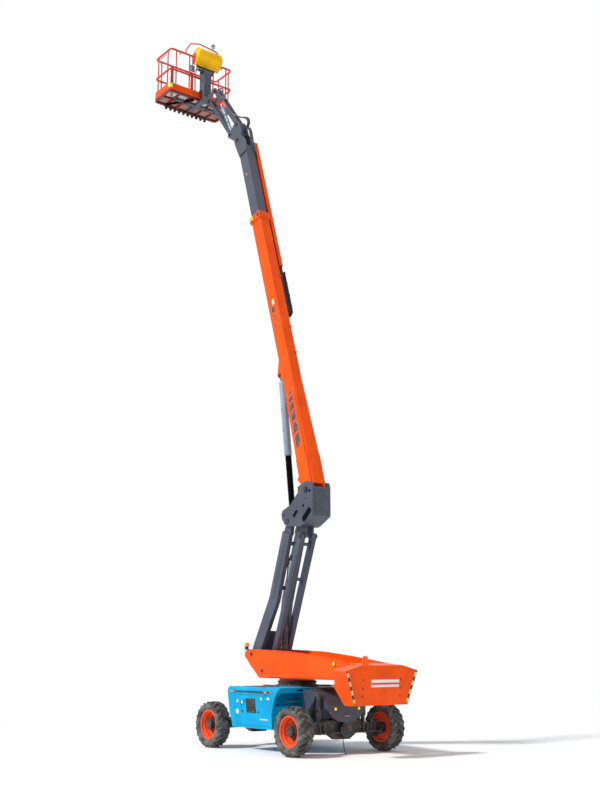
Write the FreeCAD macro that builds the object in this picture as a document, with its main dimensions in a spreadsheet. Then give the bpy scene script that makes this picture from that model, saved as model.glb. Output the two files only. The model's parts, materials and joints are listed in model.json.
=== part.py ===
import FreeCAD, Part
import math
import os
import re
import Sketcher

# Articulating and telescoping boom lift on a four-wheel chassis. Millimetres and degrees,
# +X from the counterweight towards the platform, +Y to the left, +Z up, ground at z = 0.
# The slewing axis stands at x = slew_x, so that the whole machine is centred on the origin.

SIZES = {
    # chassis and wheels
    "slew_x": -1090,
    "wheel_base": 2550,
    "wheel_track": 2100,
    "tyre_radius": 422.5,
    "tyre_width": 300,
    "rim_radius": 262,
    "hub_radius": 95,
    "king_pin_y": 800,
    "steer_arm": 175,
    "axle_top": 600,
    "box_front": 715,
    "box_rear": 980,
    "box_top": 1140,
    "box_side": 1100,
    "box_inner": 331,
    "arch_front": 610,
    "arch_rear": 1000,
    "arch_rear_shift": 325,
    "recess_low": 810,
    "bulkhead_x": 960,
    "hood_side": 450,
    "hood_end": 1450,
    "hood_barrel": 536,
    "tower_y": 510,
    # turntable
    "deck_floor": 1280,
    "plate_gap": 750,
    "plate_wall": 25,
    "tail_x": -2050,
    "tail_end": -2430,
    "tail_side": 830,
    "tail_low": 870,
    "eye_x": -2320,
    "eye_y": 300,
    "eye_foot": 1520,
    # riser parallelogram
    "riser_tilt": 110.5,
    "riser_length": 2690,
    "riser_pin_x": 980,
    "riser_pin_z": 1730,
    "link_dx": -350,
    "link_dz": -300,
    "beam_side": 200,
    "beam_wall": 90,
    "link_side": 190,
    "knuckle_side": 220,
    "riser_ram_x": 450,
    "riser_ram_z": 1400,
    "riser_ram_along": 1900,
    "riser_ram_off": 60,
    # telescopic boom
    "boom_tilt": 73,
    "boom_pin_dx": -580,
    "boom_pin_dz": 560,
    "boom_length": 6570,
    "boom_width": 250,
    "boom_depth": 320,
    "boom_wall": 8,
    "root_side": 180,
    "fly_start": 2200,
    "fly_end": 8480,
    "fly_width": 220,
    "fly_depth": 265,
    "boom_ram_along": 2690,
    "boom_ram_off": 286,
    "boom_foot_dx": 110,
    "boom_foot_dz": 150,
    "chain_y": 197,
    "chain_high": 105,
    "chain_low": -72,
    # head, jib and platform
    "head_along": 8772,
    "head_off": 99,
    "jib_root_dx": 80,
    "jib_root_dz": 428,
    "jib_link_dx": 270,
    "jib_link_dz": -153,
    "jib_length": 1600,
    "jib_tilt": 53,
    "post_dx": 620,
    "floor_drop": 122,
    "rotator_radius": 110,
    "column_radius": 45,
    "floor_length": 1800,
    "floor_depth": 750,
    "floor_gap": 120,
    "floor_edge": 45,
    "floor_corner": 90,
    "toe_height": 170,
    "toe_wall": 4,
    "rail_inset": 20.3,
    "rail_tube": 34,
    "rail_corner": 70,
    "rail_height": 1100,
    "post_edge": 180,
    "post_inner": 345,
    "gate_y": 130,
    "gate_half": 300,
    "gate_low": 215,
    "guard_height": 1485,
    "console_y": -75,
    "console_width": 680,
    # fits
    "pin_fit": 0.3,
}

doc = FreeCAD.newDocument("BoomLift")
sheet = doc.addObject("Spreadsheet::Sheet", "Sizes")
for row, (alias, value) in enumerate(SIZES.items(), start=1):
    sheet.set(f"A{row}", alias)
    sheet.set(f"B{row}", str(value))
    sheet.setAlias(f"B{row}", alias)
doc.recompute()

PLANES = {"XY": "XY_Plane", "XZ": "XZ_Plane", "YZ": "YZ_Plane"}
AXES = {"X": "X_Axis", "Y": "Y_Axis", "Z": "Z_Axis"}
bodies = []


def size(alias):
    """The value of a sheet cell."""
    return float(sheet.get(alias))


def bound(expression):
    """An expression in which every sheet alias is written as a reference to its cell."""
    known = lambda found: "Sizes." + found.group(0) if found.group(0) in SIZES else found.group(0)
    return re.sub(r"[a-z]+(?:_[a-z]+)+", known, str(expression))


def new_body(name, x=0.0, y=0.0, z=0.0, tilt=0.0):
    """A sub-part whose own frame stands at x, y, z from the slewing axis, its X axis tilted up."""
    body = doc.addObject("PartDesign::Body", name)
    body.Label = name
    body.AllowCompound = True
    body.Placement = FreeCAD.Placement(
        FreeCAD.Vector(size("slew_x") + x, y, z),
        FreeCAD.Rotation(FreeCAD.Vector(0, 1, 0), -tilt),
    )
    bodies.append(body)
    return body


def origin_part(body, role):
    """The body's own origin plane or axis of that role."""
    return next(item for item in body.Origin.OriginFeatures if item.Role == role)


def circle(across, up, radius):
    """A round loop for a sketch."""
    return ("circle", across, up, radius)


def box(left, low, right, high):
    """A rectangular loop for a sketch."""
    return [(left, low), (right, low), (right, high), (left, high)]


def add_polygon(sketch, points):
    """A closed polygon whose every corner is bound to its two expressions."""
    count = len(points)
    corners = [
        FreeCAD.Vector(100 * math.cos(math.tau * i / count), 100 * math.sin(math.tau * i / count), 0)
        for i in range(count)
    ]
    lines = [
        sketch.addGeometry(Part.LineSegment(corners[i], corners[(i + 1) % count]), False)
        for i in range(count)
    ]
    for i in range(count):
        sketch.addConstraint(Sketcher.Constraint("Coincident", lines[i], 2, lines[(i + 1) % count], 1))
    for line, corner, (across, up) in zip(lines, corners, points):
        for kind, start, target in (("DistanceX", corner.x, across), ("DistanceY", corner.y, up)):
            index = sketch.addConstraint(Sketcher.Constraint(kind, -1, 1, line, 1, start))
            sketch.setExpression(f"Constraints[{index}]", bound(target))


def add_circle(sketch, across, up, radius):
    """A circle whose centre and radius are bound to expressions."""
    ring = sketch.addGeometry(
        Part.Circle(FreeCAD.Vector(10, 10, 0), FreeCAD.Vector(0, 0, 1), 10), False
    )
    for kind, target in (("DistanceX", across), ("DistanceY", up)):
        index = sketch.addConstraint(Sketcher.Constraint(kind, -1, 1, ring, 3, 10.0))
        sketch.setExpression(f"Constraints[{index}]", bound(target))
    index = sketch.addConstraint(Sketcher.Constraint("Radius", ring, 10.0))
    sketch.setExpression(f"Constraints[{index}]", bound(radius))


def new_sketch(body, name, plane, loops, centre):
    """A sketch on one of the body's origin planes, moved out along that plane's axis."""
    sketch = body.newObject("Sketcher::SketchObject", name)
    sketch.AttachmentSupport = (origin_part(body, PLANES[plane]), [""])
    sketch.MapMode = "FlatFace"
    along = f"-({centre})" if plane == "XZ" else str(centre)
    sketch.setExpression("AttachmentOffset.Base.z", bound(along))
    for loop in loops:
        if loop[0] == "circle":
            add_circle(sketch, *loop[1:])
        else:
            add_polygon(sketch, loop)
    return sketch


def extrude(body, name, plane, loops, centre, length):
    """Material over the loops, length long and centred on the given place along the axis."""
    sketch = new_sketch(body, name + "_outline", plane, loops, centre)
    pad = body.newObject("PartDesign::Pad", name)
    pad.Profile = sketch
    pad.SideType = "Symmetric"
    pad.setExpression("Length", bound(length))
    doc.recompute()
    return pad


def cut(body, name, plane, loops, centre, length):
    """A pocket over the loops, length long and centred on the given place along the axis."""
    before = body.Shape.Volume
    sketch = new_sketch(body, name + "_outline", plane, loops, centre)
    pocket = body.newObject("PartDesign::Pocket", name)
    pocket.Profile = sketch
    pocket.SideType = "Symmetric"
    pocket.setExpression("Length", bound(length))
    doc.recompute()
    if body.Shape.Volume >= before - 1:
        raise ValueError(f"{body.Label}: {name} cuts nothing")
    return pocket


def spin(body, name, plane, loops, axis):
    """Material turned once round one of the body's own axes."""
    sketch = new_sketch(body, name + "_outline", plane, loops, 0)
    turned = body.newObject("PartDesign::Revolution", name)
    turned.Profile = sketch
    turned.ReferenceAxis = (origin_part(body, AXES[axis]), [""])
    turned.Angle = 360
    doc.recompute()
    return turned


def soften(body, name, radius, direction, chosen=lambda centre: True):
    """A fillet on the straight edges that run in a direction of the body's own frame."""
    base = body.Tip
    wanted = FreeCAD.Vector(*direction)
    edges = []
    for number, edge in enumerate(base.Shape.Edges, start=1):
        straight = isinstance(edge.Curve, Part.Line)
        if straight and edge.tangentAt(edge.FirstParameter).cross(wanted).Length < 1e-6:
            if chosen(edge.CenterOfMass):
                edges.append(f"Edge{number}")
    fillet = body.newObject("PartDesign::Fillet", name)
    fillet.Base = (base, edges)
    fillet.setExpression("Radius", bound(radius))
    doc.recompute()
    return fillet


def point_along(start, tilt, along, off):
    """The place along and off (to the left of) a tilted line, in the vertical plane."""
    angle = math.radians(tilt)
    return (
        start[0] + along * math.cos(angle) - off * math.sin(angle),
        start[1] + along * math.sin(angle) + off * math.cos(angle),
    )


def between(start, end):
    """Length and tilt of the line from one place to another."""
    run, rise = end[0] - start[0], end[1] - start[1]
    return math.hypot(run, rise), math.degrees(math.atan2(rise, run))


# places of the pivots in the vertical mid-plane, x from the slewing axis
RISER_PIN = (size("riser_pin_x"), size("riser_pin_z"))
LINK_PIN = (RISER_PIN[0] + size("link_dx"), RISER_PIN[1] + size("link_dz"))
KNUCKLE_PIN = point_along(RISER_PIN, size("riser_tilt"), size("riser_length"), 0)
RISER_RAM_FOOT = (size("riser_ram_x"), size("riser_ram_z"))
RISER_RAM_HEAD = point_along(RISER_PIN, size("riser_tilt"), size("riser_ram_along"), size("riser_ram_off"))
BOOM_PIN = (KNUCKLE_PIN[0] + size("boom_pin_dx"), KNUCKLE_PIN[1] + size("boom_pin_dz"))
BOOM_RAM_FOOT = (KNUCKLE_PIN[0] + size("boom_foot_dx"), KNUCKLE_PIN[1] + size("boom_foot_dz"))
BOOM_RAM_HEAD = point_along(BOOM_PIN, size("boom_tilt"), size("boom_ram_along"), -size("boom_ram_off"))
LEVEL_PIN = point_along(BOOM_PIN, size("boom_tilt"), size("head_along"), -size("head_off"))
JIB_ROOT = (LEVEL_PIN[0] + size("jib_root_dx"), LEVEL_PIN[1] + size("jib_root_dz"))
JIB_LINK_ROOT = (JIB_ROOT[0] + size("jib_link_dx"), JIB_ROOT[1] + size("jib_link_dz"))
JIB_TOP = point_along(JIB_ROOT, size("jib_tilt"), size("jib_length"), 0)
JIB_RAM_HEAD = point_along(JIB_ROOT, size("jib_tilt"), size("jib_length") - 90, -40)
POST = (JIB_TOP[0] + size("post_dx"), JIB_TOP[1] + size("floor_drop"))


# ---------------------------------------------------------------- chassis

def chassis_frame():
    body = new_body("chassis_frame")
    extrude(body, "spine", "XZ", [box("-bulkhead_x", 540, "box_front", "box_top")], 0, "2*box_inner-1")
    extrude(body, "axle_beam", "XZ", [box("-wheel_base/2-90", "axle_top", "wheel_base/2+90", 800)], 0, 420)
    extrude(
        body, "bulkhead", "XZ", [box("-bulkhead_x", 560, "-bulkhead_x+50", "box_top-30")], 0,
        "2*tower_y+110",
    )
    for side, sign in (("left", ""), ("right", "-")):
        tower = [
            ("-bulkhead_x+20", 640), ("-bulkhead_x+20", "box_top-30"), ("-wheel_base/2", "box_top-80"),
            ("-wheel_base/2-70", "box_top-100"), ("-wheel_base/2-70", "box_top-140"),
            ("-wheel_base/2+36", "box_top-140"), ("-wheel_base/2+60", 900),
        ]
        extrude(body, f"tower_{side}", "XZ", [tower], f"{sign}tower_y", 100)
    extrude(body, "ring_seat", "XY", [circle(0, 0, 420)], "box_top+10", 20)
    return body


def side_box(name, sign):
    body = new_body(name)
    outline = [
        (f"{sign}box_inner", 440), (f"{sign}(box_side-80)", 410), (f"{sign}box_side", "box_top-90"),
        (f"{sign}(box_side-15)", "box_top"), (f"{sign}box_inner", "box_top"),
    ]
    extrude(body, "panel", "YZ", [outline], "(box_front-box_rear)/2", "box_front+box_rear")
    soften(
        body, "roof_edge", 60, (1, 0, 0),
        lambda centre: centre.z > size("box_top") - 1 and abs(centre.y) > 900,
    )
    front = circle("wheel_base/2", "tyre_radius", "arch_front")
    cut(body, "arch_front", "XZ", [front], 0, "2*box_side+100")
    rear = circle("-wheel_base/2-arch_rear_shift", "tyre_radius", "arch_rear")
    cut(body, "arch_rear", "XZ", [rear], 0, "2*box_side+100")
    recess = [
        (f"{sign}(box_inner+55)", "recess_low"), (f"{sign}(box_side-75)", "recess_low"),
        (f"{sign}(box_side-50)", "box_top-150"), (f"{sign}(box_side-110)", "box_top-90"),
        (f"{sign}(box_inner+55)", "box_top-90"),
    ]
    slot = box(f"{sign}(box_inner+90)", "box_top-62", f"{sign}(box_inner+330)", "box_top-32")
    for end, middle, depth in (("rear", "-box_rear+250", 500), ("front", "box_front-110", 230)):
        cut(body, f"recess_{end}", "YZ", [recess], middle, depth)
        cut(body, f"slot_{end}", "YZ", [slot], middle, depth)
    window = box(120, 610, 320, 905)
    cut(body, "service_window", "XZ", [window], f"{sign}box_side", 90)
    return body


def end_hood(name, sign, start):
    body = new_body(name)
    middle, length = f"{sign}(({start})+hood_end)/2", f"hood_end-({start})"
    extrude(body, "barrel", "YZ", [circle(0, "box_top-60", "hood_barrel")], middle, length)
    around = box(-900, 300, 900, 2000)
    inside = box("-hood_side", 540, "hood_side", "box_top-20")
    cut(body, "sides", "YZ", [around, inside], middle, f"{length}+2")
    slope = [
        (f"{sign}(({start})-10)", "box_top+20"), (f"{sign}(({start})+20)", "box_top-22"),
        (f"{sign}(hood_end-70)", "box_top-190"), (f"{sign}(hood_end+5)", "box_top-290"),
        (f"{sign}(hood_end+5)", "box_top+20"),
    ]
    cut(body, "slope", "XZ", [slope], 0, "2*hood_side+10")
    room = [
        (f"{sign}(({start})-1)", 500), (f"{sign}(wheel_base/2+92)", 500),
        (f"{sign}(wheel_base/2+92)", 800.5), (f"{sign}(({start})-1)", 800.5),
    ]
    cut(body, "beam_room", "XZ", [room], 0, 421)
    case = circle(f"{sign}wheel_base/2", "tyre_radius", 200)
    cut(body, "axle_room", "XZ", [case], 0, 500)
    return body


def axle(name, sign, steered):
    body = new_body(name)
    middle = f"{sign}wheel_base/2"
    reach = "king_pin_y-95" if steered else "wheel_track/2-110"
    low, high = "tyre_radius-75", "tyre_radius+75"
    outline = [
        (f"-({reach})", high), (f"-({reach})", low), (-300, low), (-150, "tyre_radius-170"),
        (150, "tyre_radius-170"), (300, low), (reach, low), (reach, high),
        (210, "axle_top"), (-210, "axle_top"),
    ]
    extrude(body, "beam", "YZ", [outline], middle, 150)
    extrude(body, "gear_case", "XZ", [circle(middle, "tyre_radius", 150)], 0, 190)
    if steered:
        for side, flip in (("left", ""), ("right", "-")):
            fork = [
                (f"{flip}(king_pin_y-130)", "tyre_radius-150"), (f"{flip}(king_pin_y+60)", "tyre_radius-150"),
                (f"{flip}(king_pin_y+60)", "tyre_radius-105"), (f"{flip}(king_pin_y-90)", "tyre_radius-105"),
                (f"{flip}(king_pin_y-90)", "tyre_radius+105"), (f"{flip}(king_pin_y+60)", "tyre_radius+105"),
                (f"{flip}(king_pin_y+60)", "tyre_radius+150"), (f"{flip}(king_pin_y-130)", "tyre_radius+150"),
            ]
            extrude(body, f"fork_{side}", "YZ", [fork], middle, 110)
            stop = circle(f"{middle}-20", f"{flip}tower_y", 36)
            extrude(body, f"stop_cylinder_{side}", "XY", [stop], "(tyre_radius+50+box_top-140-pin_fit)/2",
                    "box_top-140-pin_fit-tyre_radius-50")
            shackle = [
                (f"{flip}(tower_y-70)", 345), (f"{flip}(tower_y-70)", 545), (f"{flip}(tower_y+50)", 545),
                (f"{flip}(tower_y+50)", 345), (f"{flip}(tower_y+20)", 345), (f"{flip}(tower_y+20)", 505),
                (f"{flip}(tower_y-40)", 505), (f"{flip}(tower_y-40)", 345),
            ]
            extrude(body, f"shackle_{side}", "YZ", [shackle], f"{middle}-92", 36)
    else:
        for side, flip in (("left", ""), ("right", "-")):
            seat = f"{flip}(wheel_track/2-15)"
            extrude(body, f"drive_{side}", "XZ", [circle(middle, "tyre_radius", "hub_radius")], seat, 190)
    return body


def knuckle_joint(name, flip):
    body = new_body(name)
    middle = "-wheel_base/2"
    side = "" if flip > 0 else "-"
    column = circle(middle, f"{side}king_pin_y", 45)
    extrude(body, "column", "XY", [column], "tyre_radius", "210-2*pin_fit")
    drive = circle(middle, "tyre_radius", "hub_radius")
    extrude(body, "drive", "XZ", [drive], f"{side}(king_pin_y+(wheel_track/2+80-king_pin_y)/2+22)",
            "wheel_track/2+80-king_pin_y-45")
    arm = [
        (f"{middle}-steer_arm-35", f"{side}(king_pin_y-35)"),
        (f"{middle}-steer_arm-35", f"{side}(king_pin_y+35)"),
        (f"{middle}+10", f"{side}(king_pin_y+44)"), (f"{middle}+10", f"{side}(king_pin_y-44)"),
    ]
    extrude(body, "arm", "XY", [arm], "tyre_radius-80", 30)
    return body


def tie_rod():
    body = new_body("tie_rod")
    back = "-wheel_base/2-steer_arm"
    rod_z = "tyre_radius-65+15+pin_fit"
    extrude(body, "bar", "XZ", [circle(back, rod_z, 13)], 0, "2*king_pin_y")
    for side, flip in (("left", ""), ("right", "-")):
        extrude(body, f"end_{side}", "XY", [circle(back, f"{flip}king_pin_y", 28)], rod_z, 30)
    return body


def rim(name, x_sign, y_sign):
    x = x_sign * size("wheel_base") / 2
    y = y_sign * size("wheel_track") / 2
    body = new_body(name, x, y, size("tyre_radius"))
    out = "" if y_sign > 0 else "-"
    section = [
        (f"{out}106", "rim_radius+10"), (f"{out}98", "rim_radius+10"), (f"{out}98", "rim_radius-8"),
        (f"{out}60", "rim_radius-10"), (f"{out}40", "rim_radius-28"), (f"{out}(-60)", "rim_radius-28"),
        (f"{out}(-80)", "rim_radius-10"), (f"{out}(-98)", "rim_radius-8"), (f"{out}(-98)", "rim_radius+10"),
        (f"{out}(-106)", "rim_radius+10"), (f"{out}(-106)", "rim_radius-18"),
        (f"{out}(-86)", "rim_radius-20"),
        (f"{out}(-66)", "rim_radius-38"), (f"{out}(-40)", "rim_radius-38"),
        (f"{out}(-40)", "hub_radius+pin_fit"),
        (f"{out}(-20)", "hub_radius+pin_fit"), (f"{out}(-20)", "rim_radius-38"),
        (f"{out}46", "rim_radius-38"),
        (f"{out}66", "rim_radius-20"), (f"{out}106", "rim_radius-18"),
    ]
    spin(body, "dish", "YZ", [section], "Y")
    return body


def tyre(name, x_sign, y_sign):
    x = x_sign * size("wheel_base") / 2
    y = y_sign * size("wheel_track") / 2
    body = new_body(name, x, y, size("tyre_radius"))
    section = [
        (-98, "rim_radius-8"), (-98, "rim_radius+10.5"), ("-tyre_width/2+30", "rim_radius+25"),
        ("-tyre_width/2", "rim_radius+85"), ("-tyre_width/2+8", "tyre_radius-35"),
        ("-tyre_width/2+35", "tyre_radius-6"), (0, "tyre_radius"), ("tyre_width/2-35", "tyre_radius-6"),
        ("tyre_width/2-8", "tyre_radius-35"), ("tyre_width/2", "rim_radius+85"),
        ("tyre_width/2-30", "rim_radius+25"), (98, "rim_radius+10.5"), (98, "rim_radius-8"),
    ]
    spin(body, "casing", "YZ", [section], "Y")
    return body


def slewing_ring():
    body = new_body("slewing_ring")
    extrude(body, "ring", "XY", [circle(0, 0, 360), circle(0, 0, 290)], "(box_top+20+deck_floor-40)/2",
            "deck_floor-box_top-60")
    return body


# ---------------------------------------------------------------- turntable

def turntable_frame():
    body = new_body("turntable_frame")
    plate = [
        (970, 1505), (1095, 1620), (1180, 1690), (1165, 1770), (1090, 1805), (840, 1812), (-320, 1770),
        (-1100, 1695), ("tail_x", 1580), ("tail_x", "deck_floor+30"), (-1900, "deck_floor"),
        (680, "deck_floor"),
    ]
    for side, sign in (("left", ""), ("right", "-")):
        extrude(body, f"plate_{side}", "XZ", [plate], f"{sign}(plate_gap/2+plate_wall/2)", "plate_wall")
        boss = circle("riser_pin_x", "riser_pin_z", 85)
        extrude(body, f"boss_{side}", "XZ", [boss], f"{sign}(plate_gap/2-22)", 44)
        lug = [
            ("riser_pin_x+link_dx-90", "deck_floor+30"), ("riser_pin_x+link_dx+90", "deck_floor+30"),
            ("riser_pin_x+link_dx+60", "riser_pin_z+link_dz+60"),
            ("riser_pin_x+link_dx-60", "riser_pin_z+link_dz+60"),
        ]
        extrude(body, f"link_lug_{side}", "XZ", [lug], f"{sign}(link_side+20)", 24)
        foot = [
            ("riser_ram_x-110", "deck_floor+30"), ("riser_ram_x+70", "deck_floor+30"),
            ("riser_ram_x+45", "riser_ram_z+45"), ("riser_ram_x-45", "riser_ram_z+45"),
        ]
        extrude(body, f"ram_lug_{side}", "XZ", [foot], f"{sign}(50)", 24)
    extrude(body, "floor", "XZ", [box("-1900", "deck_floor", 700, "deck_floor+30")], 0, "plate_gap")
    extrude(body, "ring_flange", "XY", [circle(0, 0, 340)], "deck_floor-20", 40)
    extrude(body, "tail_wall", "XZ", [box("tail_x", "deck_floor+30", "tail_x+25", 1500)], 0, "plate_gap")
    pin = circle("riser_pin_x", "riser_pin_z", 45)
    extrude(body, "riser_pin", "XZ", [pin], 0, "plate_gap+2*plate_wall+24")
    link_pin = circle("riser_pin_x+link_dx", "riser_pin_z+link_dz", 35)
    extrude(body, "link_pin", "XZ", [link_pin], 0, "2*link_side+84")
    extrude(body, "ram_pin", "XZ", [circle("riser_ram_x", "riser_ram_z", 28)], 0, 130)
    return body


def counterweight():
    body = new_body("counterweight")
    profile = [
        ("tail_x", 1575), ("tail_x", "deck_floor-15"), ("tail_x+65", "deck_floor-90"),
        ("tail_x-80", "tail_low"),
        ("tail_end+55", "tail_low"), ("tail_end", 1450), ("tail_end+6", 1540),
    ]
    extrude(body, "casting", "XZ", [profile], 0, "2*tail_side")
    for side, sign in (("left", ""), ("right", "-")):
        taper = [
            (f"{sign}(tail_side-215)", "tail_low-1"), (f"{sign}tail_side", 1450),
            (f"{sign}(tail_side+50)", 1450),
            (f"{sign}(tail_side+50)", "tail_low-1"),
        ]
        cut(body, f"taper_{side}", "YZ", [taper], "(tail_x+tail_end)/2", 900)
        shoulder = [
            (f"{sign}430", 1553), (f"{sign}(tail_side+50)", 1437), (f"{sign}(tail_side+50)", 1700),
            (f"{sign}430", 1700),
        ]
        cut(body, f"shoulder_{side}", "YZ", [shoulder], "(tail_x+tail_end)/2", 900)
    for row, height in enumerate((1025, 1160, 1300)):
        for side, sign in (("left", ""), ("right", "-")):
            hole = circle(f"{sign}(tail_side-400)", height, 16)
            cut(body, f"bolt_hole_{row}_{side}", "YZ", [hole], "tail_end+30", 120)
    eye_slot = box("eye_x-90-pin_fit", "eye_foot-pin_fit", "eye_x+90+pin_fit", 1700)
    cut(body, "eye_slot", "XZ", [eye_slot], "eye_y", "24+2*pin_fit")
    return body


def beacon():
    body = new_body("beacon")
    seat = "plate_gap/2+plate_wall/2"
    extrude(body, "bracket", "XZ", [box(1092, "1804+pin_fit", 1168, 1816)], seat, 70)
    extrude(body, "stem", "XY", [circle(1130, seat, 30)], 1840, 60)
    extrude(body, "lens", "XY", [circle(1130, seat, 46)], 1912, 86)
    return body


def lifting_eye():
    body = new_body("lifting_eye")
    eye = [
        ("eye_x-90", "eye_foot"), ("eye_x+90", "eye_foot"), ("eye_x+65", 1655), ("eye_x+30", 1697),
        ("eye_x-30", 1697), ("eye_x-65", 1655),
    ]
    extrude(body, "plate", "XZ", [eye, circle("eye_x", 1650, 24)], "eye_y", 24)
    return body


# ---------------------------------------------------------------- riser

def riser_arm():
    body = new_body("riser_arm", RISER_PIN[0], 0, RISER_PIN[1], size("riser_tilt"))
    beam = [
        (1150, -62), ("riser_length-230", -100), ("riser_length-230", 140), (1150, 200),
    ]
    lug = [
        ("riser_length-240", -95), ("riser_length+40", -80), ("riser_length+80", -40),
        ("riser_length+80", 40),
        ("riser_length+40", 80), ("riser_length-240", 130),
    ]
    for side, sign in (("left", ""), ("right", "-")):
        extrude(body, f"beam_{side}", "XZ", [beam], f"{sign}(beam_side-beam_wall/2)", "beam_wall")
        splay = [
            (-70, f"{sign}(beam_side+45)"), (150, f"{sign}(beam_side+45)"),
            (1130, f"{sign}(beam_side-beam_wall)"),
            (1250, f"{sign}(beam_side-beam_wall)"), (1250, f"{sign}(beam_side)"),
            (1130, f"{sign}(beam_side)"),
            (150, f"{sign}(beam_side+130)"), (-70, f"{sign}(beam_side+130)"),
        ]
        extrude(body, f"leg_{side}", "XY", [splay], 70, 260)
        extrude(body, f"lug_{side}", "XZ", [lug], f"{sign}(beam_side-beam_wall/2-28)", "beam_wall-14")
        ear = [
            ("riser_ram_along-120", 30), ("riser_ram_along-60", 120), ("riser_ram_along+60", 120),
            ("riser_ram_along+120", 30), ("riser_ram_along+120", -20), ("riser_ram_along-120", -20),
        ]
        extrude(body, f"ear_{side}", "XZ", [ear], f"{sign}(50)", 24)
        web = box("riser_ram_along-110", -20, "riser_ram_along+110", 20)
        extrude(body, f"ear_web_{side}", "XZ", [web], f"{sign}(86)", 50)
    for name, along, off in (("upper", "riser_length-420", 75), ("lower", 1350, 0)):
        extrude(body, f"tie_{name}", "XZ", [circle(along, off, 40)], 0, "2*beam_side-40")
    extrude(body, "foot_plate", "XZ", [box(60, 20, 480, 50)], 0, "2*beam_side+92")
    cut(body, "root_bore", "XZ", [circle(0, 0, "45+pin_fit")], 0, 900)
    extrude(body, "top_pin", "XZ", [circle("riser_length", 0, 38)], 0, "2*beam_side+30")
    return body


def riser_link():
    body = new_body("riser_link", LINK_PIN[0], 0, LINK_PIN[1], size("riser_tilt"))
    bar = [
        (-60, -25), (-25, -60), ("riser_length+25", -60), ("riser_length+60", -25),
        ("riser_length+60", 25), ("riser_length+25", 60), (-25, 60), (-60, 25),
    ]
    for side, sign in (("left", ""), ("right", "-")):
        extrude(body, f"bar_{side}", "XZ", [bar], f"{sign}(link_side-beam_wall/2)", "beam_wall")
    for name, along in (("upper", "riser_length-170"), ("lower", "riser_length-870")):
        extrude(body, f"tie_{name}", "XZ", [circle(along, 0, 32)], 0, "2*link_side-40")
    cut(body, "root_bore", "XZ", [circle(0, 0, "35+pin_fit")], 0, 600)
    cut(body, "top_bore", "XZ", [circle("riser_length", 0, "32+pin_fit")], 0, 600)
    return body


def ram_barrel(name, start, tilt, length, radius, eye, width, bore, neck):
    body = new_body(name, start[0], 0, start[1], tilt)
    extrude(body, "tube", "YZ", [circle(0, 0, radius)], f"({length}+{neck})/2", f"{length}-{neck}")
    extrude(body, "eye", "XZ", [circle(0, 0, eye)], 0, width)
    extrude(body, "neck", "XZ", [box(0, f"-{eye}*0.8", f"{neck}+5", f"{eye}*0.8")], 0, f"({width})*0.9")
    extrude(body, "gland", "YZ", [circle(0, 0, f"{radius}+6")], f"{length}-30", 60)
    mouth = circle(0, 0, f"{radius}*0.62+pin_fit")
    cut(body, "mouth", "YZ", [mouth], f"({length}+{neck}+30)/2+5", f"{length}-{neck}-20")
    cut(body, "bore", "XZ", [circle(0, 0, f"{bore}+pin_fit")], 0, 400)
    return body


def ram_rod(name, start, tilt, inner, outer, radius, eye, width):
    body = new_body(name, start[0], 0, start[1], tilt)
    extrude(body, "rod", "YZ", [circle(0, 0, radius)], f"({inner}+{outer}-{eye}*0.5)/2",
            f"{outer}-{eye}*0.5-{inner}")
    extrude(body, "eye", "XZ", [circle(outer, 0, eye)], 0, width)
    return body


def riser_ram():
    length, tilt = between(RISER_RAM_FOOT, RISER_RAM_HEAD)
    ram_barrel("riser_ram_barrel", RISER_RAM_FOOT, tilt, 1180, 62, 50, "76-2*pin_fit", 28, 105)
    ram_rod("riser_ram_rod", RISER_RAM_FOOT, tilt, 900, round(length, 3), 38, 46, "76-2*pin_fit")


def knuckle_bracket():
    body = new_body("knuckle_bracket", KNUCKLE_PIN[0], 0, KNUCKLE_PIN[1])
    side_plate = [
        (90, -60), (170, 60), (185, 150), (150, 215), (-105, 305), (-339, 514), (-330, 630),
        (-600, 720), (-770, 690), (-800, 600), (-800, 40), (-520, -105), (-420, -140), (-200, -120), (0, -95),
    ]
    tab = [
        (-450, -160), (-420, -330), (-380, -365), (-320, -365), (-280, -330), (-220, -130), (-300, -60),
        (-440, -60),
    ]
    foot = [("boom_foot_dx-60", "boom_foot_dz+55"), ("boom_foot_dx-60", "boom_foot_dz-65"),
            ("boom_foot_dx+40", "boom_foot_dz-60"), ("boom_foot_dx+60", "boom_foot_dz+30"),
            ("boom_foot_dx+20", "boom_foot_dz+60")]
    for side, sign in (("left", ""), ("right", "-")):
        openings = [side_plate, circle(-450, 110, 60), circle("boom_pin_dx", "boom_pin_dz", 30)]
        extrude(body, f"plate_{side}", "XZ", openings, f"{sign}(knuckle_side-10)", 20)
        extrude(body, f"tab_{side}", "XZ", [tab], f"{sign}(link_side-beam_wall-20)", 30)
        extrude(body, f"foot_{side}", "XZ", [foot], f"{sign}53", 26)
        web = box("boom_foot_dx-55", "boom_foot_dz-60", "boom_foot_dx-35", "boom_foot_dz+50")
        extrude(body, f"foot_web_{side}", "XZ", [web], f"{sign}(knuckle_side+50)/2", "knuckle_side-70")
    extrude(body, "rear_wall", "XZ", [box(-800, 40, -780, 600)], 0, "2*knuckle_side-20")
    extrude(body, "bottom_wall", "XZ", [[(-800, 40), (-520, -105), (-420, -140), (-200, -120), (-200, -100),
                                         (-420, -115), (-515, -80), (-780, 58)]], 0, "2*knuckle_side-20")
    extrude(body, "boom_pin", "XZ", [circle("boom_pin_dx", "boom_pin_dz", 42)], 0, "2*knuckle_side+44")
    extrude(body, "link_pin", "XZ", [circle("link_dx", "link_dz", 32)], 0, "2*link_side+44")
    cut(body, "arm_bore", "XZ", [circle(0, 0, "38+pin_fit")], 0, 600)
    return body


# ---------------------------------------------------------------- boom

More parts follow.
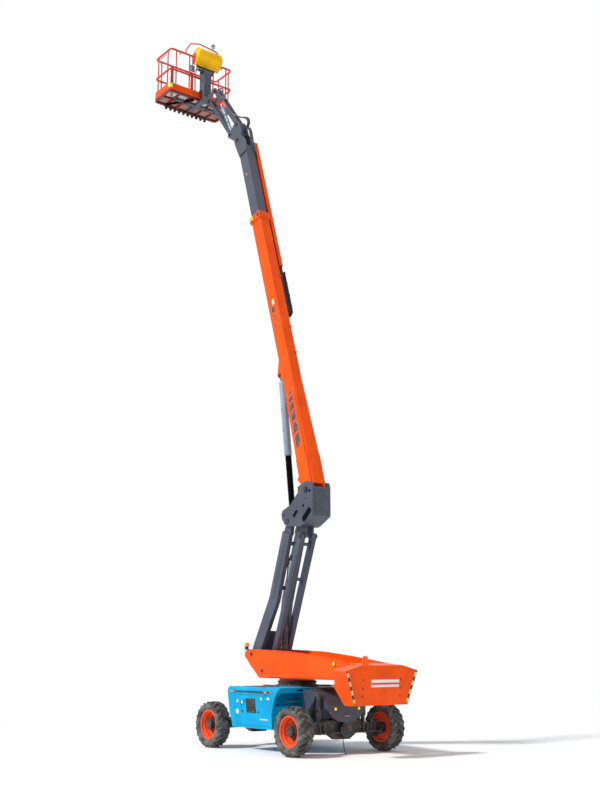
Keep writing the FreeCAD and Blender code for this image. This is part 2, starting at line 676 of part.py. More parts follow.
def base_boom():
    body = new_body("base_boom", BOOM_PIN[0], 0, BOOM_PIN[1], size("boom_tilt"))
    section = box("-boom_width/2", "-boom_depth/2", "boom_width/2", "boom_depth/2")
    extrude(body, "tube", "YZ", [section], "boom_length/2+40", "boom_length-80")
    soften(body, "tube_corners", 18, (1, 0, 0))
    root = [(700, "-boom_depth/2"), (700, "boom_depth/2"), (0, 145), (-80, 125), (-130, 75), (-148, 0),
            (-130, -75), (-80, -125), (0, -145), (200, "-boom_depth/2-8"), (300, "-boom_depth/2-75"),
            (345, "-boom_depth/2-8")]
    for side, sign in (("left", ""), ("right", "-")):
        extrude(
            body, f"cheek_{side}", "XZ", [root], f"{sign}(boom_width/2-3+root_side)/2",
            "root_side-boom_width/2+3",
        )
        flare = [
            (650, f"{sign}(boom_width/2-3)"), (650, f"{sign}root_side"), (760, f"{sign}root_side"),
            (2500, f"{sign}(boom_width/2+2)"), (2500, f"{sign}(boom_width/2-3)"),
        ]
        extrude(body, f"flare_{side}", "XY", [flare], 0, "boom_depth-36")
        ear = [
            ("boom_ram_along+460", "-boom_depth/2+2"), ("boom_ram_along+60", "-boom_ram_off-55"),
            ("boom_ram_along-20", "-boom_ram_off-58"), ("boom_ram_along-62", "-boom_ram_off-10"),
            ("boom_ram_along-120", "-boom_depth/2+2"),
        ]
        extrude(body, f"ear_{side}", "XZ", [ear], f"{sign}53", 26)
    collar = box("-boom_width/2-20", "-boom_depth/2-25", "boom_width/2+20", "boom_depth/2+25")
    extrude(body, "collar", "YZ", [collar], "boom_length-80", 160)
    hollow = box(
        "-boom_width/2+boom_wall", "-boom_depth/2+boom_wall", "boom_width/2-boom_wall",
        "boom_depth/2-boom_wall",
    )
    cut(body, "hollow", "YZ", [hollow], "(boom_length+430)/2+5", "boom_length-430+10")
    for side, sign in (("left", ""), ("right", "-")):
        pad_y = f"{sign}(boom_width/2-boom_wall+fly_width/2+pin_fit)/2"
        extrude(body, f"pad_{side}", "XZ", [box("boom_length-90", -90, "boom_length", 90)], pad_y,
                "boom_width/2-boom_wall-fly_width/2-pin_fit")
    for side, sign in (("top", ""), ("bottom", "-")):
        pad_z = f"{sign}(boom_depth/2-boom_wall+fly_depth/2+pin_fit)/2"
        extrude(body, f"pad_{side}", "XY", [box("boom_length-90", -80, "boom_length", 80)], pad_z,
                "boom_depth/2-boom_wall-fly_depth/2-pin_fit")
    cut(body, "root_bore", "XZ", [circle(0, 0, "42+pin_fit")], 0, 600)
    extrude(body, "ram_pin", "XZ", [circle("boom_ram_along", "-boom_ram_off", 30)], 0, 150)
    return body


def boom_ram():
    length, tilt = between(BOOM_RAM_HEAD, BOOM_RAM_FOOT)
    ram_barrel("boom_ram_barrel", BOOM_RAM_HEAD, tilt, 1713, 60, 55, "80-2*pin_fit", 30, 135)
    ram_rod("boom_ram_rod", BOOM_RAM_HEAD, tilt, 1500, round(length, 3), 36, 50, "80-2*pin_fit")


def fly_boom():
    body = new_body("fly_boom", BOOM_PIN[0], 0, BOOM_PIN[1], size("boom_tilt"))
    section = box("-fly_width/2", "-fly_depth/2", "fly_width/2", "fly_depth/2")
    hollow = box(
        "-fly_width/2+boom_wall", "-fly_depth/2+boom_wall", "fly_width/2-boom_wall",
        "fly_depth/2-boom_wall",
    )
    extrude(body, "tube", "YZ", [section, hollow], "(fly_start+fly_end)/2", "fly_end-fly_start")
    cheek = [
        ("fly_end-180", "-fly_depth/2"), ("fly_end", "-fly_depth/2-30"), ("head_along-60", "-head_off-105"),
        ("head_along+60", "-head_off-100"), ("head_along+105", "-head_off-20"), ("head_along+100", 60),
        ("fly_end+60", 190), ("fly_end-120", 190), ("fly_end-180", "fly_depth/2"),
    ]
    for side, sign in (("left", ""), ("right", "-")):
        extrude(body, f"cheek_{side}", "XZ", [cheek], f"{sign}(fly_width/2+10)", 20)
    extrude(body, "level_pin", "XZ", [circle("head_along", "-head_off", 30)], 0, "fly_width+60")
    extrude(body, "ram_pin", "XZ", [circle("head_along-820", 20, 20)], 0, "fly_width-2*boom_wall+2")
    extrude(body, "rail_bracket", "XZ", [box("fly_end-60", "chain_high-47", "fly_end+60", "chain_high+47")],
            "-(fly_width/2+chain_y-25-pin_fit)/2", "chain_y-59-pin_fit-fly_width/2")
    return body


def cable_rail():
    body = new_body("cable_rail", BOOM_PIN[0], 0, BOOM_PIN[1], size("boom_tilt"))
    inner, outer = "-(chain_y-42)", "-(chain_y+48)"
    channel = [
        (inner, "chain_high-47"), (outer, "chain_high-47"), (outer, "chain_high+47"),
        (inner, "chain_high+47"),
        (inner, "chain_high+41"), ("-(chain_y+42)", "chain_high+41"), ("-(chain_y+42)", "chain_high-41"),
        (inner, "chain_high-41"),
    ]
    extrude(body, "channel", "YZ", [channel], 6900, 3400)
    return body


def cable_tray():
    body = new_body("cable_tray", BOOM_PIN[0], 0, BOOM_PIN[1], size("boom_tilt"))
    inner, outer = "-(chain_y-46)", "-(chain_y+48)"
    channel = [
        (inner, "chain_low-27"), (outer, "chain_low-27"), (outer, "chain_low+22"),
        ("-(chain_y+44)", "chain_low+22"),
        ("-(chain_y+44)", "chain_low-22-pin_fit"), (inner, "chain_low-22-pin_fit"),
    ]
    extrude(body, "channel", "YZ", [channel], 4700, 3400)
    for number, along in enumerate((3100, 4100, 5100, 6100)):
        bracket = box(along, "chain_low-48", f"{along}+60", "chain_low-24")
        extrude(
            body, f"bracket_{number}", "XZ", [bracket], "-(boom_width/2+chain_y-44)/2",
            "chain_y-44-boom_width/2",
        )
    return body


def cable_chain():
    body = new_body("cable_chain", BOOM_PIN[0], 0, BOOM_PIN[1], size("boom_tilt"))
    turn, half, width, place = 4118, 22, 70, "-chain_y"
    middle, radius = "(chain_low+chain_high)/2", "(chain_high-chain_low)/2"
    for name, height, end in (("upper_run", "chain_high", 6750), ("lower_run", "chain_low", 5030)):
        extrude(body, name, "XZ", [box(turn, f"{height}-{half}", end, f"{height}+{half}")], place, width)
    ring = [circle(turn, middle, f"{radius}+{half}"), circle(turn, middle, f"{radius}-{half}")]
    extrude(body, "bend", "XZ", ring, place, width)
    gap = box(f"{turn}+0.5", f"chain_low+{half}+0.5", f"{turn}+200", f"chain_high-{half}-0.5")
    cut(body, "bend_half", "XZ", [gap], place, f"{width}+10")
    return body


# ---------------------------------------------------------------- head and jib

def head_bracket():
    body = new_body("head_bracket", LEVEL_PIN[0], 0, LEVEL_PIN[1])
    plate = [
        (60, -70), (100, 0), ("jib_root_dx+jib_link_dx+60", "jib_root_dz+jib_link_dz-50"),
        ("jib_root_dx+jib_link_dx+65", "jib_root_dz+jib_link_dz+30"),
        ("jib_root_dx+jib_link_dx", "jib_root_dz+jib_link_dz+62"), ("jib_root_dx+40", "jib_root_dz+70"),
        ("jib_root_dx-55", "jib_root_dz+60"), (-70, "jib_root_dz-60"), (-150, 150), (-130, 80),
        (-60, -60), (0, -80),
    ]
    for side, sign in (("left", ""), ("right", "-")):
        extrude(body, f"plate_{side}", "XZ", [plate], f"{sign}92", 20)
    extrude(body, "web", "XZ", [box(-20, 150, 10, 400)], 0, 180)
    cut(body, "level_bore", "XZ", [circle(0, 0, "30+pin_fit")], 0, 400)
    extrude(body, "jib_pin", "XZ", [circle("jib_root_dx", "jib_root_dz", 28)], 0, 224)
    link_pin = circle("jib_root_dx+jib_link_dx", "jib_root_dz+jib_link_dz", 24)
    extrude(body, "link_pin", "XZ", [link_pin], 0, 224)
    return body


def level_ram():
    foot = point_along(BOOM_PIN, size("boom_tilt"), size("head_along") - 820, 20)
    head = (LEVEL_PIN[0] - 94, LEVEL_PIN[1] + 129)
    length, tilt = between(foot, head)
    ram_barrel("level_ram_barrel", foot, tilt, 560, 34, 34, "60", 20, 45)
    ram_rod("level_ram_rod", foot, tilt, 420, round(length, 3), 20, 30, "164-2*pin_fit")


def jib_arm():
    body = new_body("jib_arm", JIB_ROOT[0], 0, JIB_ROOT[1], size("jib_tilt"))
    bar = [(-50, -25), (-25, -55), ("jib_length+25", -55), ("jib_length+50", -25),
           ("jib_length+50", 25), ("jib_length+25", 55), (-25, 55), (-50, 25)]
    for side, sign in (("left", ""), ("right", "-")):
        extrude(body, f"bar_{side}", "XZ", [bar], f"{sign}66", 28)
    for name, along in (("lower", 350), ("upper", 1150)):
        extrude(body, f"tie_{name}", "XZ", [box(along, 30, f"{along}+120", 55)], 0, 110)
    cut(body, "root_bore", "XZ", [circle(0, 0, "28+pin_fit")], 0, 300)
    cut(body, "top_bore", "XZ", [circle("jib_length", 0, "28+pin_fit")], 0, 300)
    return body


def jib_link():
    body = new_body("jib_link", JIB_LINK_ROOT[0], 0, JIB_LINK_ROOT[1], size("jib_tilt"))
    bar = [(-45, -20), (-20, -40), ("jib_length+20", -40), ("jib_length+45", -20),
           ("jib_length+45", 20), ("jib_length+20", 40), (-20, 40), (-45, 20)]
    for side, sign in (("left", ""), ("right", "-")):
        extrude(body, f"bar_{side}", "XZ", [bar], f"{sign}68", 22)
    extrude(body, "tie", "XZ", [box(900, -35, 1000, -15)], 0, 120)
    cut(body, "root_bore", "XZ", [circle(0, 0, "24+pin_fit")], 0, 300)
    cut(body, "top_bore", "XZ", [circle("jib_length", 0, "24+pin_fit")], 0, 300)
    return body


def jib_ram():
    length, tilt = between(JIB_LINK_ROOT, JIB_RAM_HEAD)
    ram_barrel("jib_ram_barrel", JIB_LINK_ROOT, tilt, 1080, 38, 40, "80", 24, 60)
    ram_rod("jib_ram_rod", JIB_LINK_ROOT, tilt, 880, round(length, 3), 23, 34, "104-2*pin_fit")


def jib_end():
    body = new_body("jib_end", JIB_TOP[0], 0, JIB_TOP[1])
    plate = [
        (-55, -40), (-55, 40), (-20, 62), (60, 60), ("jib_link_dx", "jib_link_dz+75"), ("post_dx-85", 60),
        ("post_dx-85", -60), ("jib_link_dx+60", "jib_link_dz-30"), ("jib_link_dx", "jib_link_dz-52"),
        ("jib_link_dx-50", "jib_link_dz-20"), (30, -62),
    ]
    for side, sign in (("left", ""), ("right", "-")):
        extrude(body, f"plate_{side}", "XZ", [plate], f"{sign}92", 20)
    extrude(body, "bridge", "XZ", [box("post_dx-140", -60, "post_dx-85", 60)], 0, 204)
    extrude(body, "rotator", "XY", [circle("post_dx", 0, "rotator_radius")], "floor_drop+390", 520)
    neck = [
        ("post_dx-150", -60), ("post_dx-80", -60), ("post_dx-70", "floor_drop+130"),
        ("post_dx-30", "floor_drop+131"),
        ("post_dx-30", "floor_drop+640"), ("post_dx-150", "floor_drop+640"),
        ("post_dx-175", "floor_drop+560"),
    ]
    extrude(body, "rotator_neck", "XZ", [neck], 0, 190)
    extrude(body, "jib_pin", "XZ", [circle(0, 0, 28)], 0, 224)
    extrude(body, "link_pin", "XZ", [circle("jib_link_dx", "jib_link_dz", 24)], 0, 224)
    return body


# ---------------------------------------------------------------- platform

def platform_post():
    body = new_body("platform_post", POST[0], 0, POST[1])
    extrude(body, "column", "XY", [circle(0, 0, "column_radius")], "(130-pin_fit-120)/2", "250-pin_fit")
    extrude(body, "collar", "XY", [circle(0, 0, "column_radius+20")], "130-pin_fit-20", 40)
    foot = [(-45, -50), (-45, 50), (60, 80), (200, 58), (640, 58), (640, -58), (200, -58), (60, -80)]
    extrude(body, "beam", "XY", [foot], -90, 58)
    extrude(body, "cross_beam", "XY", [box(300, -620, 400, 620)], "-84-pin_fit", 48)
    return body


def platform_floor():
    body = new_body("platform_floor", POST[0] + size("floor_gap"), 0, POST[1])
    extrude(body, "frame", "XY", [box(0, "-floor_length/2", "floor_depth", "floor_length/2")], -30, 60)
    soften(body, "corners", "floor_corner", (0, 0, 1))
    columns, lines, bar = 6, 2, 30
    holes = []
    for column in range(columns):
        for line in range(lines):
            pitch_x = f"(floor_depth-2*floor_edge+{bar})/{lines}"
            pitch_y = f"(floor_length-2*floor_edge+{bar})/{columns}"
            left, low = f"floor_edge+{line}*{pitch_x}", f"-floor_length/2+floor_edge+{column}*{pitch_y}"
            holes.append(box(left, low, f"{left}+{pitch_x}-{bar}", f"{low}+{pitch_y}-{bar}"))
    cut(body, "grid", "XY", holes, -30, 62)
    return body


def floor_plate():
    body = new_body("floor_plate", POST[0] + size("floor_gap"), 0, POST[1])
    plate = box(
        "floor_edge-5", "-floor_length/2+floor_edge-5", "floor_depth-floor_edge+5",
        "floor_length/2-floor_edge+5",
    )
    extrude(body, "plate", "XY", [plate], 2, 4)
    soften(body, "corners", "floor_corner/2", (0, 0, 1))
    return body


def loop_corners(reach, height, spread=20):
    """Picks the four upright corner edges of a loop round the floor, by its inset and height."""
    ends = (reach, size("floor_depth") - reach)
    along = size("floor_length") / 2 - reach

    def chosen(centre):
        at_corner = min(abs(centre.x - end) for end in ends) < 1 and abs(abs(centre.y) - along) < 1
        return at_corner and abs(centre.z - height) < spread

    return chosen


def toe_boards():
    body = new_body("toe_boards", POST[0] + size("floor_gap"), 0, POST[1])
    middle = size("toe_height") / 2
    outer = box(0, "-floor_length/2", "floor_depth", "floor_length/2")
    inner = box("toe_wall", "-floor_length/2+toe_wall", "floor_depth-toe_wall", "floor_length/2-toe_wall")
    extrude(body, "board", "XY", [outer, inner], "toe_height/2", "toe_height")
    soften(body, "inner_corners", "floor_corner-toe_wall", (0, 0, 1), loop_corners(size("toe_wall"), middle))
    soften(body, "corners", "floor_corner", (0, 0, 1), loop_corners(0, middle))
    return body


def rail_loop(body, name, height):
    """A tube loop round the platform with rounded corners, height its middle."""
    loops, inset, half = [], size("rail_inset"), size("rail_tube") / 2
    for reach in ("(rail_inset-rail_tube/2)", "(rail_inset+rail_tube/2)"):
        loops.append(
            box(reach, f"-floor_length/2+{reach}", f"floor_depth-{reach}", f"floor_length/2-{reach}")
        )
    extrude(body, name, "XY", loops, height, "rail_tube")
    for edge, sign in (("inside", 1), ("outside", -1)):
        radius = f"rail_corner-{sign}*rail_tube/2"
        soften(body, f"{name}_{edge}", radius, (0, 0, 1), loop_corners(inset + sign * half, float(height)))


def guard_rails():
    body = new_body("guard_rails", POST[0] + size("floor_gap"), 0, POST[1])
    rail_loop(body, "top", size("rail_height") - size("rail_tube") / 2)
    rail_loop(body, "middle", size("rail_height") / 2)
    gate_gap = box("floor_depth-80", "gate_y-gate_half", "floor_depth+10", "gate_y+gate_half")
    cut(body, "gate_gap", "XY", [gate_gap], "rail_height/2+300", "rail_height-400")
    near, far = "rail_inset", "floor_depth-rail_inset"
    end_post = "(floor_length/2-post_edge)"
    places = [(near, along) for along in (end_post, "post_inner", "-post_inner", f"-{end_post}")]
    places += [
        (far, "gate_y+gate_half+15"), (far, "gate_y-gate_half-15"), (far, end_post),
        (far, f"-{end_post}"),
    ]
    places += [
        (across, f"{sign}(floor_length/2-rail_inset)")
        for across in (150, "floor_depth-150")
        for sign in ("", "-")
    ]
    loops = [circle(across, along, 16) for across, along in places]
    extrude(body, "posts", "XY", loops, "(rail_height-10)/2", "rail_height-10")
    hinge = box(
        "floor_depth-rail_inset-15", "gate_y+gate_half-46", "floor_depth-rail_inset+15",
        "gate_y+gate_half+16",
    )
    extrude(body, "gate_hinge", "XY", [hinge], "gate_low-pin_fit-12", 24)
    for name, place in (
        ("left", "console_y+console_width/2+4+pin_fit"),
        ("right", "console_y-console_width/2-4-pin_fit"),
    ):
        plate = [
            (-100, 880), ("rail_inset", 830), ("rail_inset", "rail_height-17"), (-70, "rail_height+60"),
            (-130, 1050),
        ]
        extrude(body, f"console_plate_{name}", "XZ", [plate], place, 8)
    return body


def gate():
    body = new_body("gate", POST[0] + size("floor_gap"), 0, POST[1])
    left, right = "gate_y-gate_half+8", "gate_y+gate_half-12"
    outer = box(left, "gate_low", right, "rail_height")
    upper = box(f"{left}+34", "rail_height/2+17", f"{right}-34", "rail_height-34")
    lower = box(f"{left}+34", "gate_low+34", f"{right}-34", "rail_height/2-17")
    extrude(body, "frame", "YZ", [outer, upper, lower], "floor_depth-rail_inset", "rail_tube")
    return body


def tube(body, name, place, points, radius):
    """A round tube in a plane across X; the first run of its points (y, z) goes straight up."""
    spine = body.newObject("Sketcher::SketchObject", name + "_spine")
    spine.AttachmentSupport = (origin_part(body, PLANES["YZ"]), [""])
    spine.MapMode = "FlatFace"
    spine.setExpression("AttachmentOffset.Base.z", bound(place))
    corners = [FreeCAD.Vector(100 * i, 30 * (i % 2), 0) for i in range(len(points))]
    lines = [
        spine.addGeometry(Part.LineSegment(corners[i], corners[i + 1]), False) for i in range(len(points) - 1)
    ]
    for i in range(len(lines) - 1):
        spine.addConstraint(Sketcher.Constraint("Coincident", lines[i], 2, lines[i + 1], 1))
    ends = [(line, 1) for line in lines] + [(lines[-1], 2)]
    for (line, end), corner, (across, up) in zip(ends, corners, points):
        for kind, start, target in (("DistanceX", corner.x, across), ("DistanceY", corner.y, up)):
            index = spine.addConstraint(Sketcher.Constraint(kind, -1, 1, line, end, start))
            spine.setExpression(f"Constraints[{index}]", bound(target))
    pipe = body.newObject("PartDesign::AdditivePipe", name)
    pipe.Profile = new_sketch(
        body, name + "_section", "XY", [circle(place, points[0][0], radius)], points[0][1],
    )
    pipe.Spine = (spine, [f"Edge{number + 1}" for number in range(len(lines))])
    pipe.Transition = "Round corner"
    doc.recompute()
    return pipe


def console_guard():
    body = new_body("console_guard", POST[0] + size("floor_gap"), 0, POST[1])
    foot = "rail_height+pin_fit"
    points = [
        (460, foot), (460, "rail_height+80"), (330, "guard_height-85"), (80, "guard_height"),
        (-420, "guard_height-40"), (-490, "guard_height-110"), (-490, foot),
    ]
    tube(body, "arch", "rail_inset", points, 16)
    return body


def work_lamp():
    body = new_body("work_lamp", POST[0] + size("floor_gap") + size("rail_inset"), -330, POST[1])
    extrude(body, "stalk", "XY", [circle(0, 0, 9)], "guard_height+23+pin_fit", 78)
    ball = body.newObject("PartDesign::AdditiveSphere", "ball")
    ball.setExpression("Radius", "45")
    ball.setExpression("Placement.Base.z", bound("guard_height+95"))
    doc.recompute()
    return body


def step_teeth():
    body = new_body("step_teeth", POST[0] + size("floor_gap"), 0, POST[1])
    count, pitch = 10, 125
    extrude(body, "strip", "XY", [box("floor_depth-44", -610, "floor_depth-4", 610)], "-68-pin_fit", 16)
    loops = []
    for number in range(count):
        middle = (number - (count - 1) / 2) * pitch
        loops.append([(middle - 34, -75), (middle - 22, -135), (middle + 22, -135), (middle + 34, -75)])
    extrude(body, "teeth", "YZ", loops, "floor_depth-24", 40)
    return body


def console():
    body = new_body("console", POST[0], size("console_y"), POST[1])
    housing = [
        (-10, 1243), (-120, 1215), (-185, 1120), (-185, 1003), (-130, 900), (30, 795), ("floor_gap-2", 838),
        ("floor_gap-2", 1040), (60, 1190),
    ]
    extrude(body, "housing", "XZ", [housing], 0, "console_width")
    soften(body, "housing_edges", 30, (0, 1, 0))
    return body


for chassis_part in (chassis_frame, slewing_ring, tie_rod):
    chassis_part()
side_box("side_box_left", "")
side_box("side_box_right", "-")
end_hood("hood_front", "", "box_front+pin_fit")
end_hood("hood_rear", "-", "bulkhead_x+pin_fit")
axle("axle_front", "", False)
axle("axle_rear", "-", True)
knuckle_joint("steer_knuckle_left", 1)
knuckle_joint("steer_knuckle_right", -1)
for end, x_sign in (("front", 1), ("rear", -1)):
    for side, y_sign in (("left", 1), ("right", -1)):
        rim(f"rim_{end}_{side}", x_sign, y_sign)
        tyre(f"tyre_{end}_{side}", x_sign, y_sign)
for upper_part in (turntable_frame, counterweight, beacon, lifting_eye, riser_arm, riser_link, riser_ram,
                   knuckle_bracket, base_boom, boom_ram, fly_boom, cable_rail, cable_tray, cable_chain,
                   head_bracket, level_ram, jib_arm, jib_link, jib_ram, jib_end, platform_post,
                   platform_floor, floor_plate, toe_boards, guard_rails, gate, console_guard, work_lamp,
                   step_teeth, console):
    upper_part()

doc.recompute()
for item in doc.Objects:
    if "Invalid" in item.State or "Error" in item.State:
        raise RuntimeError(f"{item.Label} failed: {item.State}")
for body in bodies:
    if body.Shape.isNull() or not body.Shape.isValid():
        raise RuntimeError(f"{body.Label} has no valid shape")
os.makedirs("parts", exist_ok=True)
for body in bodies:
    body.Shape.exportStep(f"parts/{body.Label}.step")
for name, place in (("riser", RISER_PIN), ("link", LINK_PIN), ("knuckle", KNUCKLE_PIN), ("boom", BOOM_PIN),
                    ("level", LEVEL_PIN), ("jib", JIB_ROOT), ("jib_link", JIB_LINK_ROOT),
                    ("jib_top", JIB_TOP),
                    ("post", POST)):
    print(f"{name} pivot x {size('slew_x') + place[0]:.1f} z {place[1]:.1f}")
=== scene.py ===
"""Looks of an articulating telescopic boom lift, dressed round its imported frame."""

import json
import logging
import math
from dataclasses import dataclass
from enum import Enum
from typing import Callable, Optional, Sequence, Union

import bpy
from mathutils import Matrix, Vector


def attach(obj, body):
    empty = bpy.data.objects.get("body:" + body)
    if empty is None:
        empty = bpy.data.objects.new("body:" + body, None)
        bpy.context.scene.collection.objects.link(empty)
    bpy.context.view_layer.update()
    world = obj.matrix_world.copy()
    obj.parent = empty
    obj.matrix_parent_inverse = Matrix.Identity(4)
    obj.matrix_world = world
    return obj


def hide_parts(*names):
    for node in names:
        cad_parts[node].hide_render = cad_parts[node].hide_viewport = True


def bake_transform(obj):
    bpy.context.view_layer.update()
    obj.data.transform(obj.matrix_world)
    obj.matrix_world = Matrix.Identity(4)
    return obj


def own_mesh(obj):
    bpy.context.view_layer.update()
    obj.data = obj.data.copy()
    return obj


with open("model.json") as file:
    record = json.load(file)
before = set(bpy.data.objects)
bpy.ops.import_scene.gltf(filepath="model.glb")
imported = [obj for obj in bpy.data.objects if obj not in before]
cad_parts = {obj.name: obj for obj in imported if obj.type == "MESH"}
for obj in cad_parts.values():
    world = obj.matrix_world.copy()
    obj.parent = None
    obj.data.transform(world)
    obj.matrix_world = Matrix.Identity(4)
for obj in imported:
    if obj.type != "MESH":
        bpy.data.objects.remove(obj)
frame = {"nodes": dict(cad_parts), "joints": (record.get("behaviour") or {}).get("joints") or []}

LOG = logging.getLogger("boom_lift")
Piece = bpy.types.Object
Colour = tuple[float, float, float]
Point = Sequence[float]
Flat = tuple[float, float]

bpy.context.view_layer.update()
JOINTS = {joint["name"]: joint for joint in frame["joints"]}


class Axis(Enum):
    """The world direction that a round piece points along."""

    X = 0
    Y = 1
    Z = 2


class Side(Enum):
    """The left or the right of the machine, with its sign along Y."""

    LEFT = 1
    RIGHT = -1


class End(Enum):
    """The front or the rear of the chassis."""

    FRONT = "front"
    REAR = "rear"


SIDES = tuple((side.value, side.name.lower()) for side in Side)
ORIGIN = (0.0, 0.0, 0.0)
RISER_TILT, BOOM_TILT, JIB_TILT = 110.5, 73.0, 53.0


# ---- shader maths


class Sock:
    """A shader value that Python's operators work on."""

    def __init__(self, graph: "Graph", link: bpy.types.NodeSocket) -> None:
        """Keeps the graph and the socket."""
        self.graph = graph
        self.link = link

    def __add__(self, other: "Term") -> "Sock":
        """Sum."""
        return self.graph.math("ADD", self, other)

    def __sub__(self, other: "Term") -> "Sock":
        """Difference."""
        return self.graph.math("SUBTRACT", self, other)

    def __rsub__(self, other: "Term") -> "Sock":
        """Difference from a number."""
        return self.graph.math("SUBTRACT", other, self)

    def __mul__(self, other: "Term") -> "Sock":
        """Product."""
        return self.graph.math("MULTIPLY", self, other)

    def __truediv__(self, other: "Term") -> "Sock":
        """Quotient."""
        return self.graph.math("DIVIDE", self, other)

    def __abs__(self) -> "Sock":
        """Size without sign."""
        return self.graph.math("ABSOLUTE", self)

    __radd__ = __add__
    __rmul__ = __mul__

    def repeat(self) -> "Sock":
        """The part after the decimal point, for patterns that repeat."""
        return self.graph.math("FRACT", self)

    def ramp(self, low: float, high: float, start: float = 0.0, end: float = 1.0) -> "Sock":
        """A smooth step from one value to another.

        Args:
            low: Input at which the step starts.
            high: Input at which it ends.
            start: Output at and before low.
            end: Output at and after high.

        Returns:
            The stepped value.
        """
        values = {"Value": self, "From Min": low, "From Max": high, "To Min": start, "To Max": end}
        node = self.graph.node("ShaderNodeMapRange", {"interpolation_type": "SMOOTHSTEP"}, values)
        return Sock(self.graph, node.outputs["Result"])


Term = Union[Sock, float, int]


class Graph:
    """One material's node tree."""

    def __init__(self, name: str) -> None:
        """Starts a material with an empty tree but for its shader and output.

        Args:
            name: The material's name.
        """
        self.material = bpy.data.materials.new(name)
        self.material.use_nodes = True
        self.tree = self.material.node_tree
        self.shader = self.tree.nodes["Principled BSDF"]
        self.place = self.node("ShaderNodeTexCoord").outputs["Object"]

    def node(
        self, kind: str, settings: Optional[dict] = None, values: Optional[dict] = None,
    ) -> bpy.types.Node:
        """Adds a node.

        Args:
            kind: The node's type.
            settings: Attributes, set before the values.
            values: Numbers, colours, sockets or Socks for its inputs, by name.

        Returns:
            The node.
        """
        node = self.tree.nodes.new(kind)
        for key, value in (settings or {}).items():
            setattr(node, key, value)
        for key, value in (values or {}).items():
            target = node.inputs[key]
            if isinstance(value, Sock):
                self.tree.links.new(value.link, target)
            elif isinstance(value, bpy.types.NodeSocket):
                self.tree.links.new(value, target)
            else:
                target.default_value = value
        return node

    def math(self, operation: str, first: Term, second: Term = 0.0) -> Sock:
        """A Math node's result on one or two values."""
        node = self.node("ShaderNodeMath", {"operation": operation}, {0: first, 1: second})
        return Sock(self, node.outputs[0])

    def parts(
        self, stretch: Point = (1, 1, 1), angles: Point = (0, 0, 0), move: Point = (0, 0, 0)
    ) -> tuple[Sock, Sock, Sock]:
        """X, Y and Z of the place on the piece, moved in metres, turned in radians and stretched."""
        split = self.node("ShaderNodeSeparateXYZ", values={0: self.mapped(stretch, angles, move)})
        return tuple(Sock(self, output) for output in split.outputs)

    def mapped(
        self, stretch: Point, angles: Point = (0, 0, 0), move: Point = (0, 0, 0),
    ) -> bpy.types.NodeSocket:
        """The place on the piece, moved, turned and stretched."""
        values = {"Vector": self.place, "Scale": stretch, "Rotation": angles, "Location": move}
        return self.node("ShaderNodeMapping", values=values).outputs[0]

    def noise(self, scale: float, detail: float = 2.0, stretch: Point = (1, 1, 1)) -> Sock:
        """Cloudy noise from 0 to 1, with so many lumps per metre and octaves of detail."""
        values = {"Vector": self.mapped(stretch), "Scale": scale, "Detail": detail, "Roughness": 0.55}
        return Sock(self, self.node("ShaderNodeTexNoise", values=values).outputs[0])

    def blend(self, factor: Term, first: Union[Sock, Colour], second: Union[Sock, Colour]) -> Sock:
        """A colour between two colours.

        Args:
            factor: 0 for the first and 1 for the second.
            first: First colour.
            second: Second colour.

        Returns:
            The mixed colour.
        """
        wide = [value if isinstance(value, Sock) else (*value, 1.0) for value in (first, second)]
        values = {0: factor, 6: wide[0], 7: wide[1]}
        node = self.node("ShaderNodeMix", {"data_type": "RGBA", "clamp_factor": True}, values)
        return Sock(self, node.outputs[2])

    def rim(self, radius: float) -> Sock:
        """1 along sharp edges and 0 on flat faces."""
        soft = self.node("ShaderNodeBevel", {"samples": 4}, {"Radius": radius}).outputs[0]
        plain = self.node("ShaderNodeNewGeometry").outputs["Normal"]
        dot = self.node("ShaderNodeVectorMath", {"operation": "DOT_PRODUCT"}, {0: soft, 1: plain})
        return Sock(self, dot.outputs["Value"]).ramp(0.995, 0.86)

    def relief(self, height: Sock, depth: float) -> None:
        """Feeds a bump of some metres' depth to the shader's normal."""
        bump = self.node("ShaderNodeBump", values={"Height": height, "Distance": depth, "Strength": 1.0})
        self.tree.links.new(bump.outputs[0], self.shader.inputs["Normal"])

    def feed(self, **values: Union[Term, Colour]) -> bpy.types.Material:
        """Sets the shader's inputs.

        Args:
            values: Numbers, colours or Socks by input name, with _ for a space.

        Returns:
            The finished material.
        """
        for key, value in values.items():
            target = self.shader.inputs[key.replace("_", " ")]
            if isinstance(value, Sock):
                self.tree.links.new(value.link, target)
            else:
                target.default_value = (*value, 1.0) if isinstance(value, tuple) else value
        return self.material


# ---- finishes


def shade(colour: Colour, factor: float, lift: float = 0.0) -> Colour:
    """A colour with each channel multiplied and then lifted, up to 1."""
    return tuple(min(1.0, channel * factor + lift) for channel in colour)


